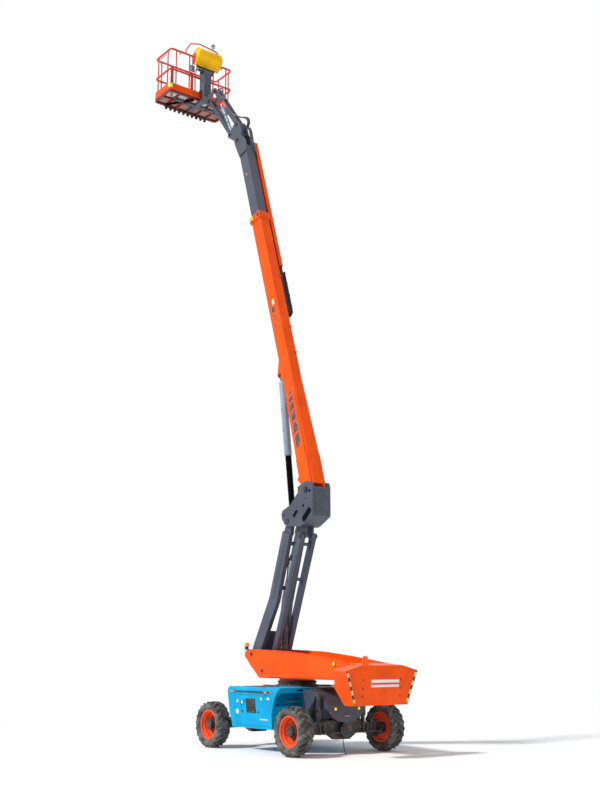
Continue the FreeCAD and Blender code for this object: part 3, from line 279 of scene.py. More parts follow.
@dataclass(frozen=True)
class Paint:
    """Sprayed coat on steel, with orange peel, rain streaks, dust low down and rubbed edges."""

    name: str
    colour: Colour
    slot: str
    shine: float = 0.34
    coat: float = 0.12
    dust: float = 0.12
    worn: float = 0.5
    bare: Colour = (0.3, 0.29, 0.28)
    gloss: float = 0.28

    def make(self) -> bpy.types.Material:
        """Builds the material."""
        graph = Graph(self.name)
        broad = graph.noise(1.7, 3.0)
        streak = graph.noise(9.0, 2.0, (1.0, 1.0, 0.08)).ramp(0.52, 0.72)
        grime = graph.noise(14.0, 4.0)
        tone = graph.blend(broad.ramp(0.3, 0.7), shade(self.colour, 0.84), shade(self.colour, 1.06, 0.002))
        tone = graph.blend(streak * 0.16, tone, shade(self.colour, 0.45, 0.02))
        height = graph.parts()[2]
        dust = (1.0 - height / 1.6).ramp(0.0, 1.0) * grime.ramp(0.35, 0.7) * self.dust
        tone = graph.blend(dust, tone, (0.36, 0.31, 0.25))
        rubbed = graph.rim(0.007) * graph.noise(31.0, 3.0).ramp(0.46, 0.62) * self.worn
        tone = graph.blend(rubbed, tone, self.bare)
        graph.relief(graph.noise(260.0, 1.0) * 0.6 + broad * 0.4, 0.00025)
        graph.shader.inputs["Specular IOR Level"].default_value = self.gloss
        rough = graph.math("ADD", grime * 0.12 + self.shine, dust * 0.4 + rubbed * 0.2)
        return graph.feed(
            Base_Color=tone, Roughness=rough, Coat_Weight=(1.0 - rubbed) * self.coat, Metallic=rubbed * 0.4,
        )


@dataclass(frozen=True)
class Iron:
    """Dark cast or forged steel with a thin coat, oil stains and dust."""

    name: str
    colour: Colour
    slot: str
    rough: float = 0.55
    dust: float = 0.3

    def make(self) -> bpy.types.Material:
        """Builds the material."""
        graph = Graph(self.name)
        cast = graph.noise(90.0, 3.0)
        oily = graph.noise(4.0, 3.0).ramp(0.5, 0.68)
        tone = graph.blend(cast.ramp(0.3, 0.75), self.colour, shade(self.colour, 1.7, 0.01))
        tone = graph.blend(oily * 0.5, tone, shade(self.colour, 0.4))
        dust = graph.noise(11.0, 4.0).ramp(0.42, 0.75) * self.dust
        tone = graph.blend(dust, tone, (0.3, 0.26, 0.21))
        edge = graph.rim(0.005) * 0.45
        tone = graph.blend(edge, tone, (0.33, 0.32, 0.31))
        graph.relief(cast, 0.0009)
        return graph.feed(
            Base_Color=tone, Roughness=self.rough - oily * 0.25 + dust * 0.3, Metallic=0.25 + edge * 0.5,
        )


@dataclass(frozen=True)
class Rubber:
    """Black rubber with dust in its low places and fine moulding marks."""

    name: str
    slot: str
    colour: Colour = (0.024, 0.024, 0.024)
    dusty: float = 0.75

    def make(self) -> bpy.types.Material:
        """Builds the material."""
        graph = Graph(self.name)
        patch = graph.noise(7.0, 4.0).ramp(0.35, 0.7)
        fine = graph.noise(170.0, 2.0)
        tone = graph.blend(patch * self.dusty, self.colour, (0.205, 0.203, 0.187))
        tone = graph.blend(graph.rim(0.008) * 0.5, tone, (0.2, 0.2, 0.19))
        graph.relief(fine, 0.0006)
        return graph.feed(Base_Color=tone, Roughness=0.6 + patch * 0.25)


@dataclass(frozen=True)
class Chrome:
    """Ground and plated rod, with hair-fine rings and an oil film."""

    name: str
    slot: str
    colour: Colour = (0.62, 0.64, 0.67)
    metal: float = 1.0

    def make(self) -> bpy.types.Material:
        """Builds the material."""
        graph = Graph(self.name)
        film = graph.noise(13.0, 3.0)
        rings = graph.noise(420.0, 1.0, (1.0, 0.1, 1.0))
        tone = graph.blend(film.ramp(0.4, 0.7), self.colour, shade(self.colour, 0.72))
        graph.relief(rings, 0.00012)
        return graph.feed(Base_Color=tone, Roughness=0.14 + film * 0.18, Metallic=self.metal)


@dataclass(frozen=True)
class Plastic:
    """Moulded plastic with a fine grain and sun-bleached patches."""

    name: str
    colour: Colour
    slot: str
    rough: float = 0.45
    grain: float = 0.0004
    gloss: float = 0.5

    def make(self) -> bpy.types.Material:
        """Builds the material."""
        graph = Graph(self.name)
        patch = graph.noise(5.0, 3.0)
        tone = graph.blend(patch.ramp(0.35, 0.7), shade(self.colour, 0.86), self.colour)
        tone = graph.blend(graph.noise(38.0, 3.0).ramp(0.6, 0.8) * 0.25, tone, shade(self.colour, 0.55, 0.02))
        graph.relief(graph.noise(340.0, 2.0), self.grain)
        graph.shader.inputs["Specular IOR Level"].default_value = self.gloss
        return graph.feed(Base_Color=tone, Roughness=self.rough + patch * 0.12)


@dataclass(frozen=True)
class Lens:
    """Tinted lens with moulded prisms that show as fine upright ribs."""

    name: str
    colour: Colour
    slot: str
    glow: float = 0.0

    def make(self) -> bpy.types.Material:
        """Builds the material."""
        graph = Graph(self.name)
        across, along, height = graph.parts((90.0, 90.0, 90.0))
        prism = abs((across + along).repeat() - 0.5) + abs(height.repeat() - 0.5) * 0.5
        tone = graph.blend(prism.ramp(0.1, 0.6), self.colour, shade(self.colour, 1.35, 0.04))
        graph.relief(prism, 0.0012)
        material = graph.feed(Base_Color=tone, Roughness=0.12 + prism * 0.1, Emission_Color=tone)
        graph.shader.inputs["Emission Strength"].default_value = self.glow
        return material


@dataclass(frozen=True)
class Hazard:
    """Slanted two-colour warning tape, scuffed."""

    name: str
    slot: str
    pitch: float = 0.165
    lean: float = 1.0
    first: Colour = (0.02, 0.02, 0.02)
    second: Colour = (0.9, 0.66, 0.25)

    def make(self) -> bpy.types.Material:
        """Builds the material."""
        graph = Graph(self.name)
        _, across, height = graph.parts()
        band = ((height + across * self.lean) / self.pitch).repeat()
        edge = abs(band - 0.5).ramp(0.24, 0.26)
        tone = graph.blend(edge, self.first, self.second)
        scuff = graph.noise(45.0, 4.0).ramp(0.58, 0.72)
        tone = graph.blend(scuff * 0.4, tone, (0.32, 0.27, 0.2))
        graph.relief(graph.noise(200.0), 0.0002)
        return graph.feed(Base_Color=tone, Roughness=0.38 + scuff * 0.3)


@dataclass(frozen=True)
class Sticker:
    """Blank printed label: a field with a border line, sun-faded."""

    name: str
    colour: Colour
    slot: str
    print_colour: Colour = (0.1, 0.1, 0.1)
    pitch: float = 0.03

    def make(self) -> bpy.types.Material:
        """Builds the material."""
        graph = Graph(self.name)
        height = graph.parts()[2]
        line = abs((height / self.pitch).repeat() - 0.5).ramp(0.34, 0.4)
        faded = graph.noise(20.0, 3.0)
        tone = graph.blend(line * 0.32, self.colour, self.print_colour)
        tone = graph.blend(faded.ramp(0.5, 0.75) * 0.25, tone, (0.7, 0.68, 0.62))
        graph.relief(faded, 0.0002)
        return graph.feed(Base_Color=tone, Roughness=0.35 + faded * 0.2)


class Finishes:
    """Every finish on the machine, made once and handed out by name."""

    TABLE = (
        Paint("orange_coat", (0.97, 0.09, 0.001), "orange_paint", worn=0.35, coat=0.05, gloss=0.12),
        Paint("blue_coat", (0.0, 0.37, 0.68), "blue_paint", dust=0.02, worn=0.3, coat=0.04, gloss=0.05),
        Paint(
            "slate_coat", (0.058, 0.068, 0.098), "slate_paint", shine=0.38, worn=0.5, bare=(0.22, 0.22, 0.24),
            gloss=0.35,
        ),
        Paint("ram_coat", (0.27, 0.36, 0.44), "ram_paint", worn=0.3),
        Paint("wheel_coat", (0.95, 0.08, 0.002), "rim_paint", dust=0.12, worn=0.3),
        Paint("rail_coat", (0.72, 0.045, 0.022), "rail_paint", worn=0.4),
        # The rail paint darkened for the floor grid: painted shade of the platform's underside.
        Paint("grid_coat", (0.2, 0.01, 0.014), "rail_paint", worn=0.4),
        Iron("dark_iron", (0.018, 0.018, 0.02), "dark_steel"),
        Iron("bolt_iron", (0.1, 0.1, 0.105), "dark_steel", rough=0.4, dust=0.1),
        Iron("grey_iron", (0.2, 0.2, 0.21), "dark_steel", rough=0.45),
        Rubber("tyre_black", "tyre_rubber"),
        Rubber("hose_black", "chain_plastic", dusty=0.12),
        Chrome("rod_plating", "rod_chrome"),
        Chrome("rod_black", "rod_chrome", (0.05, 0.05, 0.055), 0.85),
        Chrome("zinc", "mesh_steel", (0.5, 0.52, 0.53), 0.8),
        Iron("tread_plating", (0.3, 0.33, 0.26), "mesh_steel", rough=0.5, dust=0.15),
        Plastic("chain_black", (0.022, 0.022, 0.024), "chain_plastic"),
        Plastic("cover_yellow", (1.0, 0.55, 0.001), "yellow_cover", rough=0.34, gloss=0.2),
        Plastic("pad_yellow", (0.9, 0.5, 0.01), "yellow_cover"),
        Plastic("panel_black", (0.012, 0.012, 0.014), "chain_plastic", rough=0.3),
        # Also fills the knuckle's slots and holes, where it is painted shade.
        Plastic("matt_black", (0.004, 0.004, 0.005), "chain_plastic", rough=0.8, gloss=0.05),
        Plastic("lamp_grey", (0.25, 0.31, 0.31), "dark_steel", rough=0.3),
        Plastic("knob_red", (0.6, 0.01, 0.01), "rail_paint", rough=0.25),
        Lens("amber_glass", (0.92, 0.24, 0.01), "amber_lens", 0.06),
        # This lens glows; on the hood reflectors, which are no lamps, that is a painted glow.
        Lens("marker_yellow", (0.85, 0.78, 0.05), "amber_lens", 0.15),
        Lens("lamp_glass", (0.3, 0.36, 0.37), "amber_lens"),
        Hazard("hazard_left", "tyre_rubber", lean=0.35),
        Hazard("hazard_right", "tyre_rubber", lean=-0.35),
        Sticker("label_cream", (0.85, 0.78, 0.66), "yellow_cover"),
        Sticker("label_yellow", (0.86, 0.8, 0.1), "yellow_cover"),
        Sticker("label_red", (0.8, 0.07, 0.03), "rail_paint"),
        Sticker("label_green", (0.35, 0.72, 0.55), "yellow_cover"),
        Sticker("label_orange", (0.86, 0.33, 0.12), "orange_paint"),
        Sticker("stripe_dark", (0.045, 0.048, 0.06), "slate_paint", (0.1, 0.1, 0.12), 0.4),
        Sticker("stripe_pale", (0.8, 0.8, 0.8), "mesh_steel", (0.6, 0.6, 0.6), 0.4),
    )

    def __init__(self) -> None:
        """Indexes the table."""
        self.table = {finish.name: finish for finish in self.TABLE}
        self.made: dict[str, bpy.types.Material] = {}

    def material(self, name: str) -> bpy.types.Material:
        """The finished material of that name."""
        if name not in self.made:
            self.made[name] = self.table[name].make()
        return self.made[name]

    def slot(self, name: str) -> str:
        """The record's material slot of a finish."""
        return self.table[name].slot


FINISHES = Finishes()


# ---- modelling


@dataclass(frozen=True)
class Station:
    """A local frame: X runs up the tilt, Y is the world's Y and Z stands off to the left of X."""

    origin: Vector
    tilt: float = 0.0

    @classmethod
    def at_joint(cls, joint: str, tilt: float = 0.0) -> "Station":
        """The frame of a joint, tilted by some degrees."""
        return cls(Vector(JOINTS[joint]["pos_m"]), tilt)

    def matrix(self) -> Matrix:
        """From the local frame to the world."""
        return Matrix.Translation(self.origin) @ Matrix.Rotation(-math.radians(self.tilt), 4, "Y")


WORLD = Station(Vector((0, 0, 0)))


class Bench:
    """Modelling steps that every sub-assembly shares."""

    PLANES = {
        Axis.X: Matrix(((0, 0, 1, 0), (1, 0, 0, 0), (0, 1, 0, 0), (0, 0, 0, 1))),
        Axis.Y: Matrix(((1, 0, 0, 0), (0, 0, -1, 0), (0, 1, 0, 0), (0, 0, 0, 1))),
        Axis.Z: Matrix.Identity(4),
    }

    @staticmethod
    def clear() -> None:
        """Leaves edit mode and deselects everything."""
        if bpy.context.object and bpy.context.object.mode != "OBJECT":
            bpy.ops.object.mode_set(mode="OBJECT")
        bpy.ops.object.select_all(action="DESELECT")

    @staticmethod
    def baked(obj: Piece) -> Piece:
        """Moves an object's place into its mesh."""
        obj.data.transform(obj.matrix_world)
        obj.matrix_world = Matrix.Identity(4)
        return obj

    @classmethod
    def shaped(cls, steps: Callable[[], None], mode: str = "EDGE", everything: bool = True) -> Piece:
        """Runs edit-mode steps on the active object.

        Args:
            steps: The operators to run.
            mode: Select mode.
            everything: Whether all is selected first.

        Returns:
            The object.
        """
        obj = bpy.context.object
        bpy.ops.object.mode_set(mode="EDIT")
        bpy.ops.mesh.select_mode(type=mode)
        if everything:
            bpy.ops.mesh.select_all(action="SELECT")
        steps()
        bpy.ops.object.mode_set(mode="OBJECT")
        return obj

    @classmethod
    def block(cls, size: Point, centre: Point, bevel: float = 0.003, segments: int = 2) -> Piece:
        """A box with bevelled edges.

        Args:
            size: Length along each axis.
            centre: Its middle.
            bevel: Edge rounding.
            segments: Steps in each rounding.

        Returns:
            The object.
        """
        cls.clear()
        bpy.ops.mesh.primitive_cube_add(size=1.0, location=centre)
        bpy.context.object.scale = size
        bpy.context.view_layer.update()
        cls.baked(bpy.context.object)
        return cls.shaped(lambda: bpy.ops.mesh.bevel(offset=bevel, segments=segments, affect="EDGES"))

    @classmethod
    def plate(
        cls, outline: Sequence[Flat], axis: Axis, middle: float, thick: float, bevel: float = 0.002,
    ) -> Piece:
        """A flat outline pulled out into a plate with bevelled rims.

        Args:
            outline: Corners in the plane across the axis: (Y, Z) for X, (X, Z) for Y and (X, Y) for Z.
            axis: Direction of the thickness.
            middle: Where the plate's middle lies along the axis.
            thick: Thickness.
            bevel: Rim rounding.

        Returns:
            The object.
        """
        cls.clear()
        bpy.ops.mesh.primitive_circle_add(vertices=len(outline), radius=1.0, fill_type="NGON")
        obj = bpy.context.object
        lie = {
            Axis.X: lambda a, b: (middle - thick / 2, a, b),
            Axis.Y: lambda a, b: (a, middle - thick / 2, b),
            Axis.Z: lambda a, b: (a, b, middle - thick / 2),
        }[axis]
        for vertex, (across, up) in zip(obj.data.vertices, outline):
            vertex.co = lie(across, up)
        step = [thick if axis.value == index else 0.0 for index in range(3)]

        def pull() -> None:
            """Pulls the face out, bevels the rims and turns the faces out."""
            bpy.ops.mesh.extrude_region_move(TRANSFORM_OT_translate={"value": step})
            bpy.ops.mesh.select_all(action="SELECT")
            if bevel:
                bpy.ops.mesh.bevel(offset=bevel, segments=2, affect="EDGES")
            bpy.ops.mesh.select_all(action="SELECT")
            bpy.ops.mesh.normals_make_consistent(inside=False)

        return cls.shaped(pull)

    @staticmethod
    def capsule(centre: Flat, half: float, radius: float, lean: float) -> list[Flat]:
        """The outline of a slot with round ends.

        Args:
            centre: Its middle.
            half: Half the distance between the centres of its ends.
            radius: Radius of its ends.
            lean: Angle of its long axis in degrees.

        Returns:
            Its corners.
        """
        corners = []
        for end, start in ((1, -90), (-1, 90)):
            for degrees in range(start, start + 181, 15):
                angle = math.radians(degrees)
                spot = Vector((end * half + radius * math.cos(angle), radius * math.sin(angle)))
                corners.append(tuple(Vector(centre) + Matrix.Rotation(math.radians(lean), 2) @ spot))
        return corners

    @classmethod
    def drum(
        cls, radius: float, depth: float, centre: Point, axis: Axis, sides: int = 24, bevel: float = 0.002,
        step: Optional[Flat] = None,
    ) -> Piece:
        """A short cylinder with bevelled rims and, if asked, a raised boss on each end.

        Args:
            radius: Its radius.
            depth: Its length.
            centre: Its middle.
            axis: The direction that it points along.
            sides: Number of sides.
            bevel: Rim rounding.
            step: Inset and rise of the boss on its ends.

        Returns:
            The object.
        """
        cls.clear()
        facing = {Axis.X: (0, math.pi / 2, 0), Axis.Y: (math.pi / 2, 0, 0), Axis.Z: (0, 0, 0)}[axis]
        bpy.ops.mesh.primitive_cylinder_add(
            vertices=sides, radius=radius, depth=depth, location=centre, rotation=facing,
        )
        obj = cls.baked(bpy.context.object)
        caps = [polygon.index for polygon in obj.data.polygons if len(polygon.vertices) == sides]

        def pick_caps() -> None:
            """Selects the two ends."""
            bpy.ops.mesh.select_all(action="DESELECT")
            bpy.ops.object.mode_set(mode="OBJECT")
            for index in caps:
                obj.data.polygons[index].select = True
            bpy.ops.object.mode_set(mode="EDIT")

        def turn_up() -> None:
            """Raises the ends' bosses and rounds the rims."""
            pick_caps()
            if step:
                bpy.ops.mesh.inset(thickness=step[0], depth=0.0, use_individual=True)
                bpy.ops.mesh.inset(thickness=min(bevel, step[0]), depth=step[1], use_individual=True)
            else:
                bpy.ops.mesh.bevel(offset=bevel, segments=2, affect="EDGES")

        return cls.shaped(turn_up, "FACE", False)

    @classmethod
    def lathe(cls, section: Sequence[Flat], centre: Point, axis: Axis, steps: int = 48) -> Piece:
        """A closed section spun a full turn.

        Args:
            section: Corners as (along the axis, out from it), never on the axis itself.
            centre: The point on the axis from which along is measured.
            axis: The axis of the spin.
            steps: Steps in the turn.

        Returns:
            The object.
        """
        cls.clear()
        bpy.ops.mesh.primitive_circle_add(vertices=len(section), radius=1.0, fill_type="NOTHING")
        obj = bpy.context.object
        place = Vector(centre)
        lie = {
            Axis.X: lambda along, out: Vector((along, 0, out)),
            Axis.Y: lambda along, out: Vector((0, along, out)),
            Axis.Z: lambda along, out: Vector((out, 0, along)),
        }[axis]
        for vertex, (along, out) in zip(obj.data.vertices, section):
            vertex.co = place + lie(along, out)
        direction = [1.0 if axis.value == index else 0.0 for index in range(3)]

        def spin() -> None:
            """Spins the section and closes the seam."""
            bpy.ops.mesh.spin(steps=steps, angle=math.tau, center=place, axis=direction, use_normal_flip=False)
            bpy.ops.mesh.select_all(action="SELECT")
            bpy.ops.mesh.remove_doubles(threshold=0.00005)
            bpy.ops.mesh.normals_make_consistent(inside=False)

        return cls.shaped(spin)

    @classmethod
    def spline(cls, points: Sequence[Point], straight: bool = False) -> Piece:
        """The line that a hose or pipe follows.

        Args:
            points: Its control points.
            straight: Whether it runs straight from point to point.

        Returns:
            The curve object.
        """
        curve = bpy.data.curves.new("line", "CURVE")
        curve.dimensions = "3D"
        curve.resolution_u = 8
        spline = curve.splines.new("POLY" if straight else "NURBS")
        spline.points.add(len(points) - 1)
        for target, point in zip(spline.points, points):
            target.co = (*point, 1.0)
        if not straight:
            spline.order_u = 3
            spline.use_endpoint_u = True
        obj = bpy.data.objects.new("line", curve)
        bpy.context.scene.collection.objects.link(obj)
        return obj

    @classmethod
    def line(cls, points: Sequence[Point]) -> list[Point]:
        """The points along a smooth line.

        Args:
            points: Its control points.

        Returns:
            Points close together on it.
        """
        obj = cls.spline(points)
        mesh = bpy.data.meshes.new_from_object(obj)
        found = [tuple(vertex.co) for vertex in mesh.vertices]
        bpy.data.objects.remove(obj)
        bpy.data.meshes.remove(mesh)
        return found

    @classmethod
    def tube(cls, points: Sequence[Point], radius: float, sides: int = 3, straight: bool = False) -> Piece:
        """A hose or pipe on a smooth line.

        Args:
            points: Its control points.
            radius: Its radius.
            sides: Roundness of its section.
            straight: Whether it runs straight from point to point.

        Returns:
            The object, a closed mesh.
        """
        cls.clear()
        obj = cls.spline(points, straight)
        obj.data.bevel_depth = radius
        obj.data.bevel_resolution = sides
        obj.data.use_fill_caps = True
        bpy.context.view_layer.objects.active = obj
        obj.select_set(True)
        bpy.ops.object.convert(target="MESH")
        return bpy.context.object

    @classmethod
    def bead(cls, points: Sequence[Point], radius: float, sides: int = 2) -> Piece:
        """A weld bead, bar or pipe that runs straight from point to point."""
        return cls.tube(points, radius, sides, True)

    @classmethod
    def collar(
        cls, middle: float, half: float, inner: float, outer: float, centre: Point, axis: Axis, steps: int = 24
    ) -> Piece:
        """A plain ring, half its height to each side of a place along its axis."""
        low, high = middle - half, middle + half
        return cls.lathe([(low, inner), (low, outer), (high, outer), (high, inner)], centre, axis, steps)

    @classmethod
    def bolt(cls, radius: float, centre: Point, axis: Axis, height: float) -> Piece:
        """A hexagon head on its washer.

        Args:
            radius: Across-corners radius of the head.
            centre: Middle of the seat's face.
            axis: Direction of the shank.
            height: Height of the head.

        Returns:
            The object.
        """
        head = cls.drum(radius, height * 2, centre, axis, 6, radius * 0.12)
        washer = cls.drum(radius * 1.35, radius * 0.5, centre, axis, 16, radius * 0.08)
        return cls.joined([head, washer])

    @classmethod
    def joined(cls, objs: Sequence[Piece]) -> Piece:
        """Several objects made one."""
        cls.clear()
        for obj in objs:
            obj.select_set(True)
        bpy.context.view_layer.objects.active = objs[0]
        if len(objs) > 1:
            bpy.ops.object.join()
        return bpy.context.object

    @classmethod
    def copies(cls, master: Piece, places: Sequence[Matrix]) -> Piece:
        """A master repeated at each place, the master itself being used up.

        Args:
            master: The object, modelled round the origin.
            places: Where each copy goes.

        Returns:
            One object with all the copies.
        """
        made = []
        for place in places:
            twin = master.copy()
            twin.data = master.data.copy()
            twin.data.transform(place)
            bpy.context.scene.collection.objects.link(twin)
            made.append(twin)
        bpy.data.objects.remove(master)
        return cls.joined(made)


@dataclass
class Assembly:
    """What each sub-assembly has: a body to ride on and pieces that it reports."""

    body: str = "chassis"
    station: Station = WORLD
    count: int = 0

    def settle(
        self, obj: Union[Piece, list[Piece]], name: str, finish: str, body: Optional[str] = None,
        station: Optional[Station] = None, smooth: float = 40.0,
    ) -> Piece:
        """Puts a finished piece in its place, dresses it and lets it ride.

        Args:
            obj: The piece, or the parts that are joined into it, in the station's frame.
            name: Its name.
            finish: Its finish's name.
            body: The body that it rides on, if not the assembly's.
            station: The frame that it was modelled in, if not the assembly's.
            smooth: Angle up to which its shading is smooth.

        Returns:
            The piece.
        """
        if isinstance(obj, list):
            obj = Bench.joined(obj)
        Bench.clear()
        obj.name = obj.data.name = name
        obj.data.transform((station or self.station).matrix())
        obj.matrix_world = Matrix.Identity(4)
        obj.data.materials.clear()
        obj.data.materials.append(FINISHES.material(finish))
        bpy.context.view_layer.objects.active = obj
        obj.select_set(True)
        bpy.ops.object.shade_smooth_by_angle(angle=math.radians(smooth))
        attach(obj, body or self.body)
        FINISHES.slot(finish)
        self.count += 1
        return obj

    def bolts(
        self, name: str, places: Sequence[Matrix], radius: float, axis: Axis, height: float,
        finish: str = "bolt_iron", body: Optional[str] = None,
    ) -> None:
        """One bolt head copied to each place in the assembly's frame."""
        self.settle(Bench.copies(Bench.bolt(radius, ORIGIN, axis, height), places), name, finish, body)

    def dress(self, finish: str, *nodes: str) -> None:
        """Gives CAD nodes their finish."""
        for node in nodes:
            materials = frame["nodes"][node].data.materials
            materials.clear()
            materials.append(FINISHES.material(finish))

    def report(self) -> None:
        """Logs how many pieces the assembly has."""
        LOG.info("%s: %d pieces", type(self).__name__, self.count)


def shift(*place: float) -> Matrix:
    """A move."""
    return Matrix.Translation(Vector(place))


def turn(degrees: float, axis: Axis) -> Matrix:
    """A turn about an axis through the origin."""
    return Matrix.Rotation(math.radians(degrees), 4, axis.name)


def around(count: int, radius: float, centre: Point, axis: Axis, start: float = 0.0) -> list[Matrix]:
    """Places evenly round a circle, each turned to face outwards, the first at an angle in degrees."""
    out = {Axis.X: (0, 0, radius), Axis.Y: (radius, 0, 0), Axis.Z: (radius, 0, 0)}[axis]
    return [shift(*centre) @ turn(start + 360 * i / count, axis) @ shift(*out) for i in range(count)]


# ---- chassis and wheels


@dataclass
class Wheel(Assembly):
    """A rough-terrain tyre with chevron lugs on a deep-dish rim, and its hub cap."""

    end: End = End.FRONT
    side: Side = Side.LEFT
    radius: float = 0.4225
    crown: float = 0.3945
    half_width: float = 0.15
    lugs: int = 21
    lug_width: float = 0.046
    sweep: float = 0.31
    disc_face: float = -0.02
    hub_end: float = 0.08

    def __post_init__(self) -> None:
        """Finds the wheel's body and its centre."""
        self.tag = f"{self.end.value}_{self.side.name.lower()}"
        self.body = f"wheel_{self.tag}"
        self.station = Station.at_joint(f"roll_{self.tag}")
        self.out = self.side.value

    def casing(self) -> Piece:
        """The tyre's carcass with its sidewall rings."""
        half = [
            (0.098, 0.2545), (0.098, 0.2725), (0.108, 0.278), (0.121, 0.287), (0.134, 0.301), (0.1375, 0.302),
            (0.1385, 0.308), (0.143, 0.322), (0.147, 0.334), (0.15, 0.335), (0.15, 0.341), (0.1485, 0.343),
            (0.149, 0.356), (0.1465, 0.372), (0.138, 0.384), (0.118, 0.3895), (0.06, 0.3935),
        ]
        section = [(-across, out) for across, out in half] + [(0.0, self.crown)] + half[::-1]
        return Bench.lathe(section, ORIGIN, Axis.Y, 64)

    def lug(self, row: Side) -> Piece:
        """One tread bar from the middle of the tread over its shoulder, on top of the wheel.

        Args:
            row: The row to the left or the right of the tread's middle.

        Returns:
            The bar as an object.
        """
        Bench.clear()
        bpy.ops.mesh.primitive_cube_add(size=1.0)
        obj = bpy.context.object
        for edge in obj.data.edges:
            ends = [obj.data.vertices[index].co for index in edge.vertices]
            edge.select = abs(ends[0].x - ends[1].x) > 0.5
        for polygon in obj.data.polygons:
            polygon.select = False
        Bench.shaped(lambda: bpy.ops.mesh.subdivide(number_cuts=4), "EDGE", False)
        stations = (-0.01, 0.045, 0.088, 0.12, 0.144, 0.1535)
        tops = (
            self.radius - 0.0015, self.radius - 0.002, self.radius - 0.004, self.radius - 0.01, 0.397, 0.362,
        )
        bases = (self.crown - 0.004, self.crown - 0.005, self.crown - 0.007, 0.38, 0.366, 0.345)
        for vertex in obj.data.vertices:
            step = round((vertex.co.x + 0.5) * 5)
            top = vertex.co.z > 0
            width = self.lug_width * (0.72 if top else 1.0) * (1.0 - 0.04 * step)
            across = (stations[step] - (0.008 if top and step == 5 else 0.0)) * row.value
            out = tops[step] if top else bases[step]
            angle = -self.sweep * (stations[step] / 0.15) ** 1.15 if stations[step] > 0 else 0.0
            along = angle + vertex.co.y * width / self.crown
            vertex.co = (out * math.sin(along), across, out * math.cos(along))
        return Bench.shaped(lambda: bpy.ops.mesh.normals_make_consistent(inside=False))

    def tread(self) -> Piece:
        """Both rows of lugs."""
        pitch = 360 / self.lugs
        rows = []
        for row, start in ((Side.LEFT, 0.0), (Side.RIGHT, pitch / 2)):
            places = [turn(start + pitch * number, Axis.Y) for number in range(self.lugs)]
            rows.append(Bench.copies(self.lug(row), places))
        return Bench.joined(rows)

    def hub(self) -> None:
        """The dark hub flange with its nuts, the end cap and the valve."""
        face, out = self.disc_face, self.out
        ring = [
            (0.0005, 0.096), (0.0005, 0.158), (0.012, 0.156), (0.024, 0.128), (0.058, 0.112), (0.06, 0.096),
        ]
        flange = Bench.lathe([((face + along) * out, radius) for along, radius in ring], ORIGIN, Axis.Y, 40)
        self.settle(flange, f"hub_flange_{self.tag}", "dark_iron")
        nut = Bench.bolt(0.0125, (0, out * (face + 0.012), 0), Axis.Y, 0.012)
        nuts = Bench.copies(nut, around(10, 0.142, ORIGIN, Axis.Y))
        self.settle(nuts, f"wheel_nuts_{self.tag}", "bolt_iron")
        middle = (0, out * (self.hub_end + 0.0085), 0)
        cap = Bench.drum(0.088, 0.016, middle, Axis.Y, 32, 0.003, (0.022, 0.008))
        self.settle(cap, f"hub_cap_{self.tag}", "dark_iron")
        screw = Bench.bolt(0.008, (0, out * (self.hub_end + 0.0165), 0), Axis.Y, 0.006)
        screws = Bench.copies(screw, around(6, 0.076, ORIGIN, Axis.Y, 15))
        self.settle(screws, f"cap_screws_{self.tag}", "bolt_iron")
        stem = [
            (0.176, out * face, 0.09), (0.176, out * (face + 0.02), 0.09), (0.18, out * (face + 0.035), 0.092),
        ]
        self.settle(Bench.tube(stem, 0.005), f"valve_{self.tag}", "bolt_iron")

    def build(self) -> None:
        """Makes the wheel."""
        tyre = self.settle(self.casing(), f"casing_{self.tag}", "tyre_black", smooth=35)
        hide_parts(f"tyre_{self.tag}")
        self.settle(self.tread(), f"tread_{self.tag}", "tyre_black", smooth=25)
        self.hub()
        self.dress("wheel_coat", f"rim_{self.tag}")


